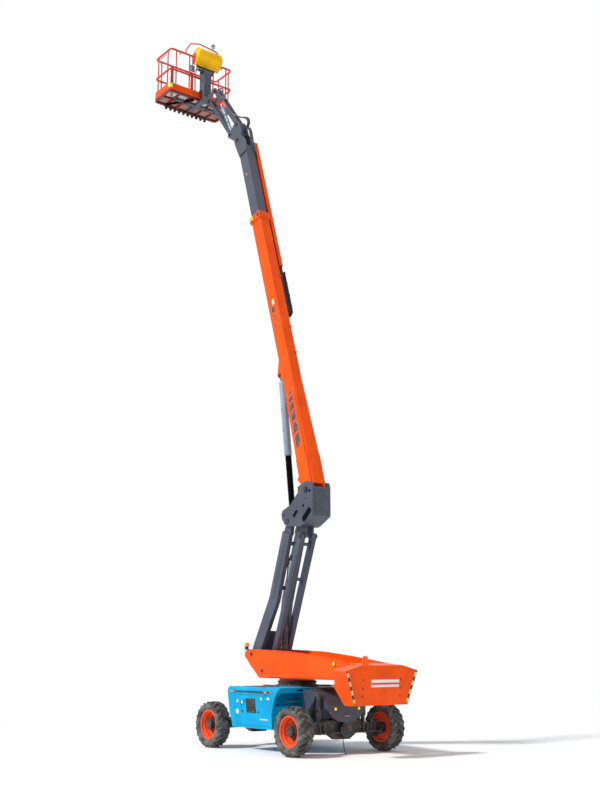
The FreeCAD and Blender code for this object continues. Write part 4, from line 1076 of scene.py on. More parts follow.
@dataclass
class Chassis(Assembly):
    """Side boxes, hoods, axles and what is fixed to them."""

    slew_x: float = -1.09
    box_side: float = 1.1
    box_low_side: float = 1.02
    panel_low: float = 0.41
    panel_high: float = 1.05
    axle_x: float = 1.275
    tower_y: float = 0.51
    axle_z: float = 0.4225
    reflector_y: tuple[float, float] = (0.26, -0.28)
    reflector_z: float = 0.78

    def panel(self, side: Side) -> Station:
        """The frame of a side panel: Y points out on the left, Z runs up the panel from its foot."""
        return Station(Vector((self.slew_x, side.value * self.box_low_side, self.panel_low)))

    def onto(self, obj: Piece, side: Side) -> Piece:
        """Leans a piece modelled against an upright panel to the panel's slope."""
        lean = math.degrees(math.atan2(self.box_side - self.box_low_side, self.panel_high - self.panel_low))
        obj.data.transform(turn(-lean * side.value, Axis.X))
        return obj

    def trim(self, side: Side) -> None:
        """The strip, door seam, latches, hinges, louvred window and blank labels of one side."""
        out, tag, panel = side.value, side.name.lower(), self.panel(side)

        def fix(obj: Piece, name: str, finish: str) -> None:
            """Leans a piece to the panel and settles it."""
            self.settle(self.onto(obj, side), f"{name}_{tag}", finish, station=panel)

        fix(Bench.block((1.3, 0.008, 0.03), (-0.045, out * 0.002, 0.65), 0.002), "side_strip", "panel_black")
        for name, along, wide, finish in (
            ("a", 0.545, 0.11, "label_orange"), ("b", -0.5, 0.09, "label_orange"),
            ("c", -0.665, 0.085, "label_red"),
        ):
            strip = Bench.block((wide, 0.003, 0.022), (along, out * 0.0075, 0.65), 0.001)
            fix(strip, f"strip_label_{name}", finish)
        seam = [(-0.62, 0.05), (-0.62, 0.6), (0.5, 0.6), (0.5, 0.05), (-0.62, 0.05)]
        fix(Bench.bead([(x, out * 0.001, z) for x, z in seam], 0.0022, 1), "door_seam", "panel_black")
        bars = [Bench.block((0.295, 0.012, 0.014), (-0.005, out * 0.004, z), 0.003) for z in (0.285, 0.522)]
        bars += [Bench.block((0.014, 0.012, 0.25), (x, out * 0.004, 0.4035), 0.003) for x in (-0.145, 0.135)]
        fix(Bench.joined(bars), "window_frame", "panel_black")
        # A dark sheet behind the louvres: painted shade of the box's inside.
        shade_sheet = Bench.block((0.27, 0.004, 0.23), (-0.005, out * 0.0015, 0.4035), 0.001)
        fix(shade_sheet, "window_back", "dark_iron")
        slat = Bench.block((0.268, 0.004, 0.026), ORIGIN, 0.001)
        slat.data.transform(turn(38 * out, Axis.X))
        slats = [shift(-0.005, out * 0.01, 0.305 + 0.0282 * number) for number in range(8)]
        fix(Bench.copies(slat, slats), "window_louvres", "dark_iron")
        latches = [
            Bench.drum(0.017, 0.014, (x, out * 0.005, 0.297), Axis.Y, 20, 0.002, (0.006, 0.003))
            for x in (0.285, -0.232)
        ]
        fix(Bench.joined(latches), "door_latches", "panel_black")
        knuckle = Bench.drum(0.009, 0.09, ORIGIN, Axis.X, 12, 0.002)
        hinge = Bench.joined([knuckle, Bench.block((0.085, 0.005, 0.036), (0, 0, -0.012), 0.001)])
        places = [shift(x, out * 0.006, 0.612) for x in (-0.42, 0.3)]
        fix(Bench.copies(hinge, places), "door_hinges", "blue_coat")
        disc = Bench.drum(0.047, 0.003, (0.447, out * 0.002, 0.288), Axis.Y, 32, 0.0005)
        fix(disc, "label_round", "label_cream")
        triangle = [(0.382, 0.455), (0.452, 0.455), (0.417, 0.515)]
        fix(Bench.plate(triangle, Axis.Y, out * 0.002, 0.003, 0.0005), "label_triangle", "label_yellow")
        for name, along, up, wide, tall, finish in (
            ("d", 0.269, 0.459, 0.05, 0.05, "label_cream"), ("e", -0.35, 0.533, 0.055, 0.05, "label_green"),
            ("f", -0.565, 0.54, 0.075, 0.04, "label_cream"), ("g", -0.375, 0.167, 0.24, 0.016, "label_cream"),
        ):
            fix(Bench.block((wide, 0.003, tall), (along, out * 0.002, up), 0.001), f"label_{name}", finish)

    def roof(self) -> None:
        """Grip mats and inner lips on the boxes' roofs."""
        for out, tag in SIDES:
            rib = Bench.block((0.6, 0.01, 0.006), ORIGIN, 0.002)
            ribs = [shift(self.slew_x + 0.05, out * (0.6 + 0.032 * number), 1.142) for number in range(12)]
            self.settle(Bench.copies(rib, ribs), f"roof_grip_{tag}", "panel_black")
            edge = Bench.block((1.2, 0.006, 0.02), (self.slew_x + 0.02, out * 0.345, 1.149), 0.002)
            self.settle(edge, f"roof_lip_{tag}", "slate_coat")

    def recess(self) -> None:
        """A handle bar inside each box's end recess and the rim round the recess."""
        rear_x = self.slew_x - 0.9
        for out, tag in SIDES:
            bar = [
                (rear_x + x, out * y, 0.9) for x, y in ((0.1, 0.52), (0.06, 0.52), (0.06, 0.86), (0.1, 0.86))
            ]
            self.settle(Bench.bead(bar, 0.009, 3), f"recess_bar_{tag}", "bolt_iron")
            rim = [(0.386, 0.81), (1.025, 0.81), (1.05, 0.99), (0.99, 1.05), (0.386, 1.05), (0.386, 0.81)]
            path = [(self.rear_edge(up) + 0.006, out * across, up) for across, up in rim]
            self.settle(Bench.bead(path, 0.007), f"recess_rim_{tag}", "blue_coat")

    def rear_edge(self, height: float) -> float:
        """X of the boxes' curved rear edge at a height."""
        radius, centre_x, centre_z = 1.0, self.slew_x - self.axle_x - 0.325, self.axle_z
        return centre_x + math.sqrt(max(0.0, radius**2 - (height - centre_z) ** 2))

    def hoods(self) -> None:
        """Reflectors in their cups, bolts and a tow loop on both hoods."""
        for name, sign in (("front", 1), ("rear", -1)):
            face = self.slew_x + sign * 1.45
            lamps, cups = [], []
            for y in self.reflector_y:
                reflector_at, cup_at = [(face + sign * ahead, y, self.reflector_z) for ahead in (0.006, 0.002)]
                lamps.append(Bench.drum(0.028, 0.02, reflector_at, Axis.X, 24, 0.003, (0.006, 0.003)))
                cups.append(Bench.drum(0.036, 0.014, cup_at, Axis.X, 24, 0.003))
            # The reflectors' lens finish glows: a painted glow, as reflectors give no light.
            self.settle(lamps, f"hood_reflectors_{name}", "marker_yellow")
            self.settle(cups, f"reflector_cups_{name}", "panel_black")
            spots = (
                (0.38, 0.72), (-0.38, 0.72), (0.2, 0.58), (-0.2, 0.58), (0.0, 0.565), (0.3, 0.82),
                (-0.3, 0.82),
            )
            self.bolts(f"hood_bolts_{name}", [shift(face, y, z) for y, z in spots], 0.011, Axis.X, 0.008)
            loop = ((-0.01, -0.06), (0.035, -0.055), (0.05, 0.0), (0.035, 0.055), (-0.01, 0.06))
            tow = [(face + sign * ahead, y, 0.66) for ahead, y in loop]
            self.settle(Bench.tube(tow, 0.012, 4), f"tow_loop_{name}", "grey_iron")

    def axles(self) -> None:
        """Differential covers, flange bolts, ribs, sleeves, steering hoses and the earthing strap."""
        for name, sign in (("front", 1), ("rear", -1)):
            x = self.slew_x + sign * self.axle_x
            middle = (x + sign * 0.155, 0, self.axle_z)
            cover = Bench.drum(0.125, 0.05, middle, Axis.X, 32, 0.006, (0.03, 0.02))
            self.settle(cover, f"axle_cover_{name}", "dark_iron")
            circle = around(10, 0.112, (x + sign * 0.18, 0, self.axle_z), Axis.X)
            self.bolts(f"axle_cover_bolts_{name}", circle, 0.01, Axis.X, 0.008)
            outline = [(x - 0.02, 0.36), (x + 0.02, 0.36), (x + 0.02, 0.51), (x - 0.02, 0.51)]
            ribs = [
                Bench.plate(outline, Axis.Y, y, 0.016, 0.003) for y in (-0.52, -0.4, -0.28, 0.28, 0.4, 0.52)
            ]
            self.settle(ribs, f"axle_ribs_{name}", "dark_iron")
        rear = self.slew_x - self.axle_x
        for out, tag in SIDES:
            section = [
                (0.64, 0.037), (0.64, 0.048), (0.66, 0.052), (0.975, 0.052), (0.975, 0.058), (1.01, 0.058),
                (1.015, 0.037),
            ]
            sleeve = Bench.lathe(section, (rear - 0.02, out * self.tower_y, 0), Axis.Z, 28)
            self.settle(sleeve, f"stop_sleeve_{tag}", "dark_iron")
            for number, reach in enumerate((0.0, 0.035)):
                hose = [
                    (self.slew_x - 0.94, out * (0.24 + reach), 0.7), (rear + 0.2, out * (0.26 + reach), 0.66),
                    (rear + 0.11, out * (0.4 + reach), 0.6), (rear + 0.09, out * (0.58 + reach), 0.54),
                    (rear + 0.06, out * (0.66 + reach), 0.5),
                ]
                self.settle(Bench.tube(hose, 0.011), f"steer_hose_{tag}_{number}", "hose_black")
        route = [
            (rear - 0.074, 0.02, 0.28), (rear - 0.105, 0.02, 0.225), (rear - 0.118, 0.02, 0.12),
            (rear - 0.138, 0.02, 0.012), (rear - 0.198, 0.02, 0.008),
        ]
        strap = self.settle(Bench.tube(route, 0.007), "earth_strap", "hose_black")
        Bench.line(route)

    def ring(self) -> None:
        """The slewing ring's seal and its bolts."""
        seal = Bench.lathe(
            [(1.232, 0.361), (1.232, 0.372), (1.228, 0.376), (1.216, 0.376), (1.212, 0.361)],
            (self.slew_x, 0, 0), Axis.Z, 64,
        )
        self.settle(seal, "ring_seal", "hose_black")
        self.bolts("ring_bolts", around(24, 0.392, (self.slew_x, 0, 1.16), Axis.Z), 0.012, Axis.Z, 0.012)

    def build(self) -> None:
        """Makes the chassis."""
        self.dress("blue_coat", "side_box_left", "side_box_right")
        self.dress("slate_coat", "chassis_frame", "hood_front", "hood_rear")
        self.dress(
            "dark_iron", "axle_front", "axle_rear", "steer_knuckle_left", "steer_knuckle_right", "tie_rod",
            "slewing_ring",
        )
        for side in Side:
            self.trim(side)
        self.roof()
        self.recess()
        self.hoods()
        self.axles()
        self.ring()


# ---- turntable


@dataclass
class Turntable(Assembly):
    """What is fixed to the side plates, the counterweight and the nose, with the beacon."""

    body: str = "turntable"
    plate_y: float = 0.4
    tail_end: float = -2.43
    tail_foot: float = -2.375
    tail_side: float = 0.83
    tail_low_side: float = 0.615
    tail_low: float = 0.87
    tail_shoulder: float = 1.45
    weight_bolt_z: tuple[float, ...] = (1.025, 1.16, 1.3)
    beacon_at: tuple[float, float] = (1.13, 0.3875)

    def __post_init__(self) -> None:
        """Stands the frame on the slewing axis."""
        self.station = Station(Vector((Chassis.slew_x, 0, 0)))

    def tail_face(self, height: float) -> float:
        """X of the counterweight's rear face at a height."""
        share = (height - self.tail_low) / (self.tail_shoulder - self.tail_low)
        return self.tail_foot + (self.tail_end - self.tail_foot) * share

    def tail_edge(self, height: float) -> float:
        """Half width of the counterweight at a height."""
        share = (height - self.tail_low) / (self.tail_shoulder - self.tail_low)
        return self.tail_low_side + (self.tail_side - self.tail_low_side) * share

    def against_tail(self, outline: Sequence[Flat], thick: float) -> Piece:
        """A plate that lies on the rear face, its outline given as (Y, Z).

        Args:
            outline: Corners of the plate.
            thick: Its thickness.

        Returns:
            The plate.
        """
        obj = Bench.plate(outline, Axis.X, 0.0, thick, thick * 0.2)
        for vertex in obj.data.vertices:
            vertex.co.x += self.tail_face(vertex.co.z) - thick * 0.45
        return obj

    def tail(self) -> None:
        """Hazard tape, the tie rods with their bolts, and blank stripes."""
        for out, tag in SIDES:
            low, high = 0.925, 1.44
            corners = ((0.052, low), (0.01, low), (0.01, high), (0.052, high))
            outline = [(out * (self.tail_edge(z) - inset), z) for inset, z in corners]
            self.settle(self.against_tail(outline, 0.003), f"hazard_tape_{tag}", f"hazard_{tag}")
            places = [shift(self.tail_face(z) + 0.055, out * 0.43, z) for z in self.weight_bolt_z]
            self.bolts(f"weight_bolts_{tag}", places, 0.022, Axis.X, 0.018)
            rod = Bench.drum(0.014, 0.05, ORIGIN, Axis.X, 16, 0.002)
            rods = Bench.copies(rod, [shift(-0.01, 0, 0) @ place for place in places])
            self.settle(rods, f"weight_rods_{tag}", "dark_iron")
        for number, (low, high) in enumerate(((1.25, 1.3), (1.175, 1.215))):
            outline = [(-0.395, low), (0.245, low), (0.245, high), (-0.395, high)]
            self.settle(self.against_tail(outline, 0.003), f"tail_stripe_{number}", "stripe_pale")

    def plates(self) -> None:
        """Pin heads, edge beads, marker lamps, bolts and stiffeners on the side plates."""
        for out, tag in SIDES:
            face = out * (self.plate_y + 0.005)
            heads = [
                Bench.drum(radius, 0.022, (x, face, z), Axis.Y, 28, 0.003, (radius * 0.35, -0.004))
                for x, z, radius in ((0.946, 1.728, 0.034), (0.59, 1.421, 0.03))
            ]
            self.settle(heads, f"pin_heads_{tag}", "dark_iron")
            edge = (
                (1.092, 1.801), (0.84, 1.8085), (0.26, 1.7895), (-0.32, 1.7665), (-1.1, 1.6915),
                (-2.045, 1.577),
            )
            bead = Bench.bead([(x, out * 0.3995, z) for x, z in edge], 0.009, 3)
            self.settle(bead, f"plate_bead_{tag}", "orange_coat")
            lens = [(0.0, 0.004), (0.0, 0.034), (0.01, 0.032), (0.02, 0.022), (0.024, 0.004)]
            bezel = [(0.0, 0.032), (0.0, 0.044), (0.008, 0.042), (0.01, 0.032)]
            for name, section, finish in (("lamp", lens, "marker_yellow"), ("bezel", bezel, "panel_black")):
                marker = Bench.lathe(section, ORIGIN, Axis.Y, 28)
                if out < 0:
                    marker.data.transform(turn(180, Axis.Z))
                marker.data.transform(shift(-1.6, out * 0.4005, 1.555))
                self.settle(marker, f"marker_{name}_{tag}", finish)
            screws = [shift(x, out * self.plate_y, 1.318) for x in (-1.75, -1.45, -1.15, -0.85, 0.2, 0.42)]
            self.bolts(f"plate_bolts_{tag}", screws, 0.012, Axis.Y, 0.01, "orange_coat")
            stiffener = Bench.block((2.3, 0.01, 0.045), (-0.62, out * (self.plate_y + 0.004), 1.318), 0.003)
            self.settle(stiffener, f"plate_stiffener_{tag}", "orange_coat")

    def nose(self) -> None:
        """Valve block, hoses and a cross bar in the nose, below the riser's foot."""
        block = Bench.block((0.22, 0.12, 0.12), (0.12, 0.3, 1.372), 0.006)
        coils = [
            Bench.drum(0.02, 0.09, (0.05 + 0.045 * number, y, 1.44), Axis.Z, 16, 0.003)
            for number in range(4) for y in (0.27, 0.33)
        ]
        self.settle(block, "valve_block", "zinc")
        self.settle(coils, "valve_coils", "panel_black")
        for number, y in enumerate((0.255, 0.28, 0.305, 0.33)):
            hose = [
                (0.02, y, 1.36), (-0.1, y, 1.36), (-0.3, y * 0.95, 1.335), (-0.62, y * 0.8, 1.325),
                (-1.05, y * 0.7, 1.325),
            ]
            self.settle(Bench.tube(hose, 0.011), f"deck_hose_{number}", "hose_black")
        self.settle(Bench.drum(0.02, 0.74, (1.1, 0, 1.7), Axis.Y, 20, 0.003), "nose_bar", "orange_coat")

    def beacon(self) -> None:
        """The flashing beacon on the left plate's nose."""
        x, y = self.beacon_at
        dome = [
            (1.866, 0.03), (1.866, 0.044), (1.872, 0.045), (1.915, 0.0445), (1.935, 0.04), (1.948, 0.028),
            (1.953, 0.012), (1.9535, 0.002), (1.94, 0.002), (1.87, 0.026),
        ]
        lens = Bench.lathe(dome, (x, y, 0), Axis.Z, 36)
        self.settle(lens, "beacon_lens", "amber_glass")
        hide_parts("beacon")
        foot = [
            (1.816, 0.01), (1.816, 0.042), (1.822, 0.044), (1.83, 0.034), (1.85, 0.034), (1.856, 0.0455),
            (1.8655, 0.0455), (1.8655, 0.01),
        ]
        self.settle(Bench.lathe(foot, (x, y, 0), Axis.Z, 36), "beacon_base", "panel_black")
        outline = [(x + a * 0.038, y + b * 0.035) for a, b in ((-1, -1), (1, -1), (1, 1), (-1, 1))]
        self.settle(Bench.plate(outline, Axis.Z, 1.8105, 0.011, 0.003), "beacon_bracket", "orange_coat")
        lead = [
            (x - 0.03, y, 1.83), (x - 0.06, y - 0.03, 1.825), (x - 0.08, y - 0.045, 1.79),
            (x - 0.09, y - 0.05, 1.72),
        ]
        self.settle(Bench.tube(lead, 0.005), "beacon_lead", "hose_black")

    def build(self) -> None:
        """Makes the turntable."""
        self.dress("orange_coat", "turntable_frame", "counterweight", "lifting_eye")
        self.tail()
        self.plates()
        self.nose()
        self.beacon()


# ---- cylinders, hoses and pins


@dataclass
class Ram(Assembly):
    """Pipe, clamps, ports, gland and wiper of one hydraulic cylinder."""

    name: str = "riser"
    length: float = 1.18
    radius: float = 0.062
    pipe_turn: float = 0.0

    def __post_init__(self) -> None:
        """Lines the frame up with the cylinder."""
        along = JOINTS[f"{self.name}_ram_stroke"]["axis"]
        self.body = f"{self.name}_ram_barrel"
        self.station = Station.at_joint(f"{self.name}_ram_swing", math.degrees(math.atan2(along[2], along[0])))

    def build(self) -> None:
        """Makes the cylinder's fittings."""
        radius, length = self.radius, self.length
        around_it, reach = turn(self.pipe_turn, Axis.X), radius * 1.22
        low, high = length * 0.14, length - 0.075
        pipe_radius = radius * 0.13
        bends = (
            (low, radius * 0.8), (low, reach), (low + 0.03, reach), (high - 0.03, reach), (high, reach),
            (high, radius * 0.8),
        )
        pipe = Bench.bead([(x, y, 0) for x, y in bends], pipe_radius, 3)
        pipe.data.transform(around_it)
        self.settle(pipe, f"{self.name}_ram_pipe", "zinc")
        bands = []
        for share in (0.36, 0.68):
            middle = low + (high - low) * share
            bands.append(Bench.collar(middle, 0.012, radius - 0.002, radius + 0.004, ORIGIN, Axis.X, 32))
            saddle = Bench.block((0.024, pipe_radius * 2.4, pipe_radius * 3.4), (middle, reach, 0), 0.002)
            saddle.data.transform(around_it)
            bands.append(saddle)
        self.settle(bands, f"{self.name}_ram_bands", "dark_iron")
        ports = []
        for along in (low, high):
            port = Bench.joined([
                Bench.drum(radius * 0.26, radius * 0.5, (along, radius, 0), Axis.Y, 16, 0.002),
                Bench.drum(radius * 0.22, radius * 0.36, (along, radius, radius * 0.32), Axis.Z, 6, 0.001),
            ])
            port.data.transform(around_it)
            ports.append(port)
        self.settle(ports, f"{self.name}_ram_ports", "bolt_iron")
        gland = ((-0.01, 0.7), (-0.01, 1.02), (0.006, 1.0), (0.006, 0.7))
        wiper = ((0.004, 0.66), (0.004, 0.7), (0.014, 0.68), (0.014, 0.655))
        gland, wiper = [[(length + along, radius * share) for along, share in ring] for ring in (gland, wiper)]
        self.settle(Bench.lathe(gland, ORIGIN, Axis.X, 36), f"{self.name}_ram_gland", "bolt_iron")
        circle = around(8, radius * 0.86, (length + 0.006, 0, 0), Axis.X, 20)
        self.bolts(f"{self.name}_gland_bolts", circle, radius * 0.1, Axis.X, radius * 0.08, "dark_iron")
        self.settle(Bench.lathe(wiper, ORIGIN, Axis.X, 36), f"{self.name}_ram_wiper", "hose_black")

    def gaiter(self, jacket: float, shut: float) -> None:
        """A wider jacket over the barrel and a bellows over the rod.

        Args:
            jacket: Radius of the jacket.
            shut: Share of the bellows' length that is left when the cylinder is shut; not used.
        """
        under, end = self.radius - 0.004, self.length - 0.008
        section = [
            (0.15, under), (0.15, jacket - 0.006), (0.168, jacket), (self.length - 0.02, jacket),
            (end, jacket - 0.006), (end, under),
        ]
        self.settle(Bench.lathe(section, ORIGIN, Axis.X, 48), f"{self.name}_ram_jacket", "ram_coat")
        start, folds, pitch = self.length + 0.012, 36, 0.0315
        outer = []
        for number in range(folds):
            outer += [
                (start + pitch * (number + part), out)
                for part, out in ((0, 0.046), (0.3, 0.064), (0.7, 0.064))
            ]
        end = start + pitch * folds
        outer += [(end, 0.046), (end, 0.04), (start, 0.04)]
        bellows = self.settle(
            Bench.lathe(outer, ORIGIN, Axis.X, 28), f"{self.name}_ram_gaiter", "matt_black",
            f"{self.name}_ram_rod", smooth=30,
        )
        anchor = self.station.matrix() @ Vector((end, 0, 0))
        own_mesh(bellows)


@dataclass
class Jointed(Assembly):
    """A sub-assembly with pin heads and with hoses that cross its joints."""

    def pins(
        self, name: str, spots: Sequence[tuple[float, float, float, float]], body: Optional[str] = None,
        finish: str = "dark_iron",
    ) -> None:
        """Pin heads with a lock plate and its bolt on both sides.

        Args:
            name: Name of the piece.
            spots: (X, Z, half length of the pin, radius) of each pin.
            body: The body that it rides on.
            finish: Its finish.
        """
        parts = []
        for x, z, half, radius in spots:
            for out, _ in SIDES:
                boss = (radius * 0.35, -0.003)
                parts += [
                    Bench.drum(radius, 0.016, (x, out * (half + 0.004), z), Axis.Y, 28, 0.003, boss),
                    Bench.block((radius * 0.8, 0.008, radius * 2.2), (x, out * (half + 0.006), z), 0.002),
                    Bench.bolt(
                        radius * 0.26, (x, out * (half + 0.01), z + radius * 0.72), Axis.Y, radius * 0.2,
                    ),
                ]
        self.settle(parts, name, finish, body)

    def flex(
        self, name: str, points: Sequence[Point], radius: float, bodies: tuple[str, str], start: Point,
        end: Point,
    ) -> None:
        """A hose between two bodies joined by one joint, in the world's frame.

        Args:
            name: Its name.
            points: Control points.
            radius: Its radius.
            bodies: The body that it leaves and the body that it reaches; not used.
            start: Where it starts to follow the second body; not used.
            end: Where it follows it fully; not used.
        """
        obj = Bench.tube(points, radius)
        obj.name = obj.data.name = name
        obj.data.materials.clear()
        obj.data.materials.append(FINISHES.material("hose_black"))
        bpy.ops.object.shade_smooth_by_angle(angle=math.radians(50))
        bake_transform(obj)
        FINISHES.slot("hose_black")
        self.count += 1

    def run(
        self, name: str, lines: Sequence[tuple[float, float]], start: float, end: float, radius: float,
        clamps: Sequence[float], finish: str = "hose_black", body: Optional[str] = None,
    ) -> None:
        """Hoses or pipes side by side along the frame's X, with clamps over them.

        Args:
            name: Name of the run.
            lines: (Y, Z) of each line.
            start: X where they start.
            end: X where they end.
            radius: Their radius.
            clamps: X of each clamp.
            finish: Their finish.
            body: The body that they ride on.
        """
        tubes = [
            Bench.bead([(start, y, z), ((start + end) / 2, y, z), (end, y, z)], radius, 3) for y, z in lines
        ]
        self.settle(tubes, f"{name}_lines", finish, body)
        middle_y = sum(y for y, _ in lines) / len(lines)
        middle_z = sum(z for _, z in lines) / len(lines)
        wide = max(y for y, _ in lines) - min(y for y, _ in lines) + radius * 2.6
        tall = max(z for _, z in lines) - min(z for _, z in lines) + radius * 2.6
        bars = [Bench.block((0.032, wide, tall), (x, middle_y, middle_z), radius * 0.4) for x in clamps]
        self.settle(bars, f"{name}_clamps", "dark_iron", body)


# ---- riser and knuckle


@dataclass
class Riser(Jointed):
    """The parallel linkage between the turntable and the knuckle, and the knuckle itself."""

    body: str = "riser"
    tilt: float = RISER_TILT
    slot_lean: float = 138.0
    hose_y: tuple[float, float] = (0.082, 0.094)
    plate_out: float = 0.2215

    def __post_init__(self) -> None:
        """Stands the frame on the riser's foot pin."""
        self.station = Station.at_joint("riser_lift", self.tilt)
        self.link = Station.at_joint("riser_link_swing", self.tilt)
        self.knuckle = Station.at_joint("knuckle_level")

    def beams(self) -> None:
        """Weld beads, stiffening straps and hose runs on the beams."""
        for out, tag in SIDES:
            bead = [(0.15, out * 0.33, -0.058), (0.15, out * 0.3305, 0.07), (0.15, out * 0.33, 0.198)]
            self.settle(Bench.bead(bead, 0.004), f"leg_bead_{tag}", "slate_coat")
            strap = Bench.plate(
                [(1.16, -0.035), (2.4, -0.06), (2.4, 0.06), (1.16, 0.085)], Axis.Y, out * 0.2015, 0.006, 0.002,
            )
            self.settle(strap, f"beam_strap_{tag}", "slate_coat")
            screws = [
                shift(x, out * 0.2045, z)
                for x, z in ((1.22, 0.055), (1.22, -0.012), (2.34, 0.035), (2.34, -0.035))
            ]
            self.bolts(f"beam_bolts_{tag}", screws, 0.011, Axis.Y, 0.007)
        self.run(
            "riser_hose", [(0.094, -0.03), (0.094, -0.004), (0.094, 0.022)], 0.3, 2.34, 0.011,
            (0.42, 0.95, 1.5, 2.05),
        )

    def links(self) -> None:
        """Rub strips and tie collars on the lower link."""
        for out, tag in SIDES:
            strip = Bench.block((1.9, 0.006, 0.05), (1.36, out * 0.192, 0.0), 0.002)
            self.settle(strip, f"link_strip_{tag}", "slate_coat", "riser_link", self.link)
        collars = [
            Bench.collar(y, 0.012, 0.03, 0.042, (x, 0, 0), Axis.Y)
            for x in (2.52, 1.82) for y in (0.088, -0.088)
        ]
        self.settle(collars, "link_tie_collars", "slate_coat", "riser_link", self.link)

    def bracket(self) -> None:
        """Pins, caps, painted shade in the slots and holes, edge beads and the rear wall's bolted cover on the
        knuckle.
        """
        spots = [(-0.58, 0.56, 0.242, 0.056), (0.0, 0.0, 0.22, 0.052), (-0.35, -0.3, 0.212, 0.042)]
        self.body, self.station = "knuckle", self.knuckle
        self.pins("knuckle_pins", spots)
        for out, tag in SIDES:
            face = out * self.plate_out
            cap = Bench.drum(0.066, 0.006, (-0.45, face, 0.11), Axis.Y, 36, 0.001, (0.01, -0.001))
            self.settle(cap, f"knuckle_cap_{tag}", "slate_coat")
            slots = ((-0.62, 0.07, 0.105, 0.062), (-0.262, 0.12, 0.052, 0.034))
            # Matt black sheets in the slots: painted shade of the knuckle's inside.
            slot_shades = [
                Bench.plate(
                    Bench.capsule((x, z), half, radius, self.slot_lean), Axis.Y, out * 0.2205, 0.005, 0.001,
                )
                for x, z, half, radius in slots
            ]
            self.settle(slot_shades, f"knuckle_doors_{tag}", "matt_black")
            rims = []
            for x, z, half, radius in slots:
                loop = Bench.capsule((x, z), half, radius + 0.004, self.slot_lean)
                rims.append(Bench.bead([(a, face, b) for a, b in loop + loop[:1]], 0.005))
            self.settle(rims, f"knuckle_door_rims_{tag}", "slate_coat")
            holes = ((-0.51, 0.25, 0.028), (-0.59, 0.385, 0.014), (-0.705, 0.52, 0.026), (0.1, 0.12, 0.014))
            # Matt black discs in the holes: painted shade of the holes' insides.
            plugs = [
                Bench.drum(radius, 0.006, (x, face, z), Axis.Y, 24, 0.001, (radius * 0.25, -0.002))
                for x, z, radius in holes
            ]
            self.settle(plugs, f"knuckle_plugs_{tag}", "matt_black")
            edge = [
                (0.14, 0.02), (0.168, 0.06), (0.183, 0.15), (0.148, 0.213), (-0.105, 0.303), (-0.337, 0.512),
            ]
            bead = Bench.bead([(x, out * 0.2195, z) for x, z in edge], 0.005)
            self.settle(bead, f"knuckle_bead_{tag}", "slate_coat")
        cover = Bench.block((0.006, 0.3, 0.36), (-0.8025, 0, 0.32), 0.002)
        self.settle(cover, "knuckle_cover", "slate_coat")
        screws = [shift(-0.8055, y, z) for y in (-0.125, 0.125) for z in (0.17, 0.32, 0.47)]
        self.bolts("knuckle_cover_bolts", screws, 0.01, Axis.X, 0.006)

    def hoses(self) -> None:
        """Hoses over the foot pin, the knuckle pin and the boom's root pin."""
        for number, aside in enumerate(self.hose_y):
            low = [
                (-0.62, aside, 1.345), (-0.4, aside, 1.36), (-0.25, aside, 1.44), (-0.16, aside, 1.62),
                (-0.16, aside, 1.82), (-0.205, aside, 2.01),
            ]
            self.flex(
                f"foot_hose_{number}", low, 0.011, ("turntable", "riser"), (-0.36, 0, 1.42), (-0.19, 0, 1.95),
            )
            top = [
                (-0.925, aside, 3.92), (-0.965, aside, 4.06), (-1.03, aside, 4.2), (-1.13, aside, 4.32),
                (-1.24, aside, 4.36), (-1.33, aside, 4.45),
            ]
            self.flex(
                f"knuckle_hose_{number}", top, 0.011, ("riser", "knuckle"), (-0.96, 0, 4.04), (-1.22, 0, 4.36),
            )
            root = [
                (-1.3, aside, 4.42), (-1.37, aside, 4.52), (-1.38, aside, 4.72), (-1.35, aside, 4.92),
                (-1.315, aside, 5.2),
            ]
            self.flex(
                f"root_hose_{number}", root, 0.011, ("knuckle", "boom"), (-1.36, 0, 4.56), (-1.33, 0, 5.1),
            )

    def build(self) -> None:
        """Makes the riser and the knuckle."""
        self.dress("slate_coat", "riser_arm", "riser_link", "knuckle_bracket")
        self.dress("dark_iron", "riser_ram_barrel")
        self.dress("rod_plating", "riser_ram_rod")
        self.beams()
        self.links()
        self.bracket()
        self.hoses()


# ---- boom


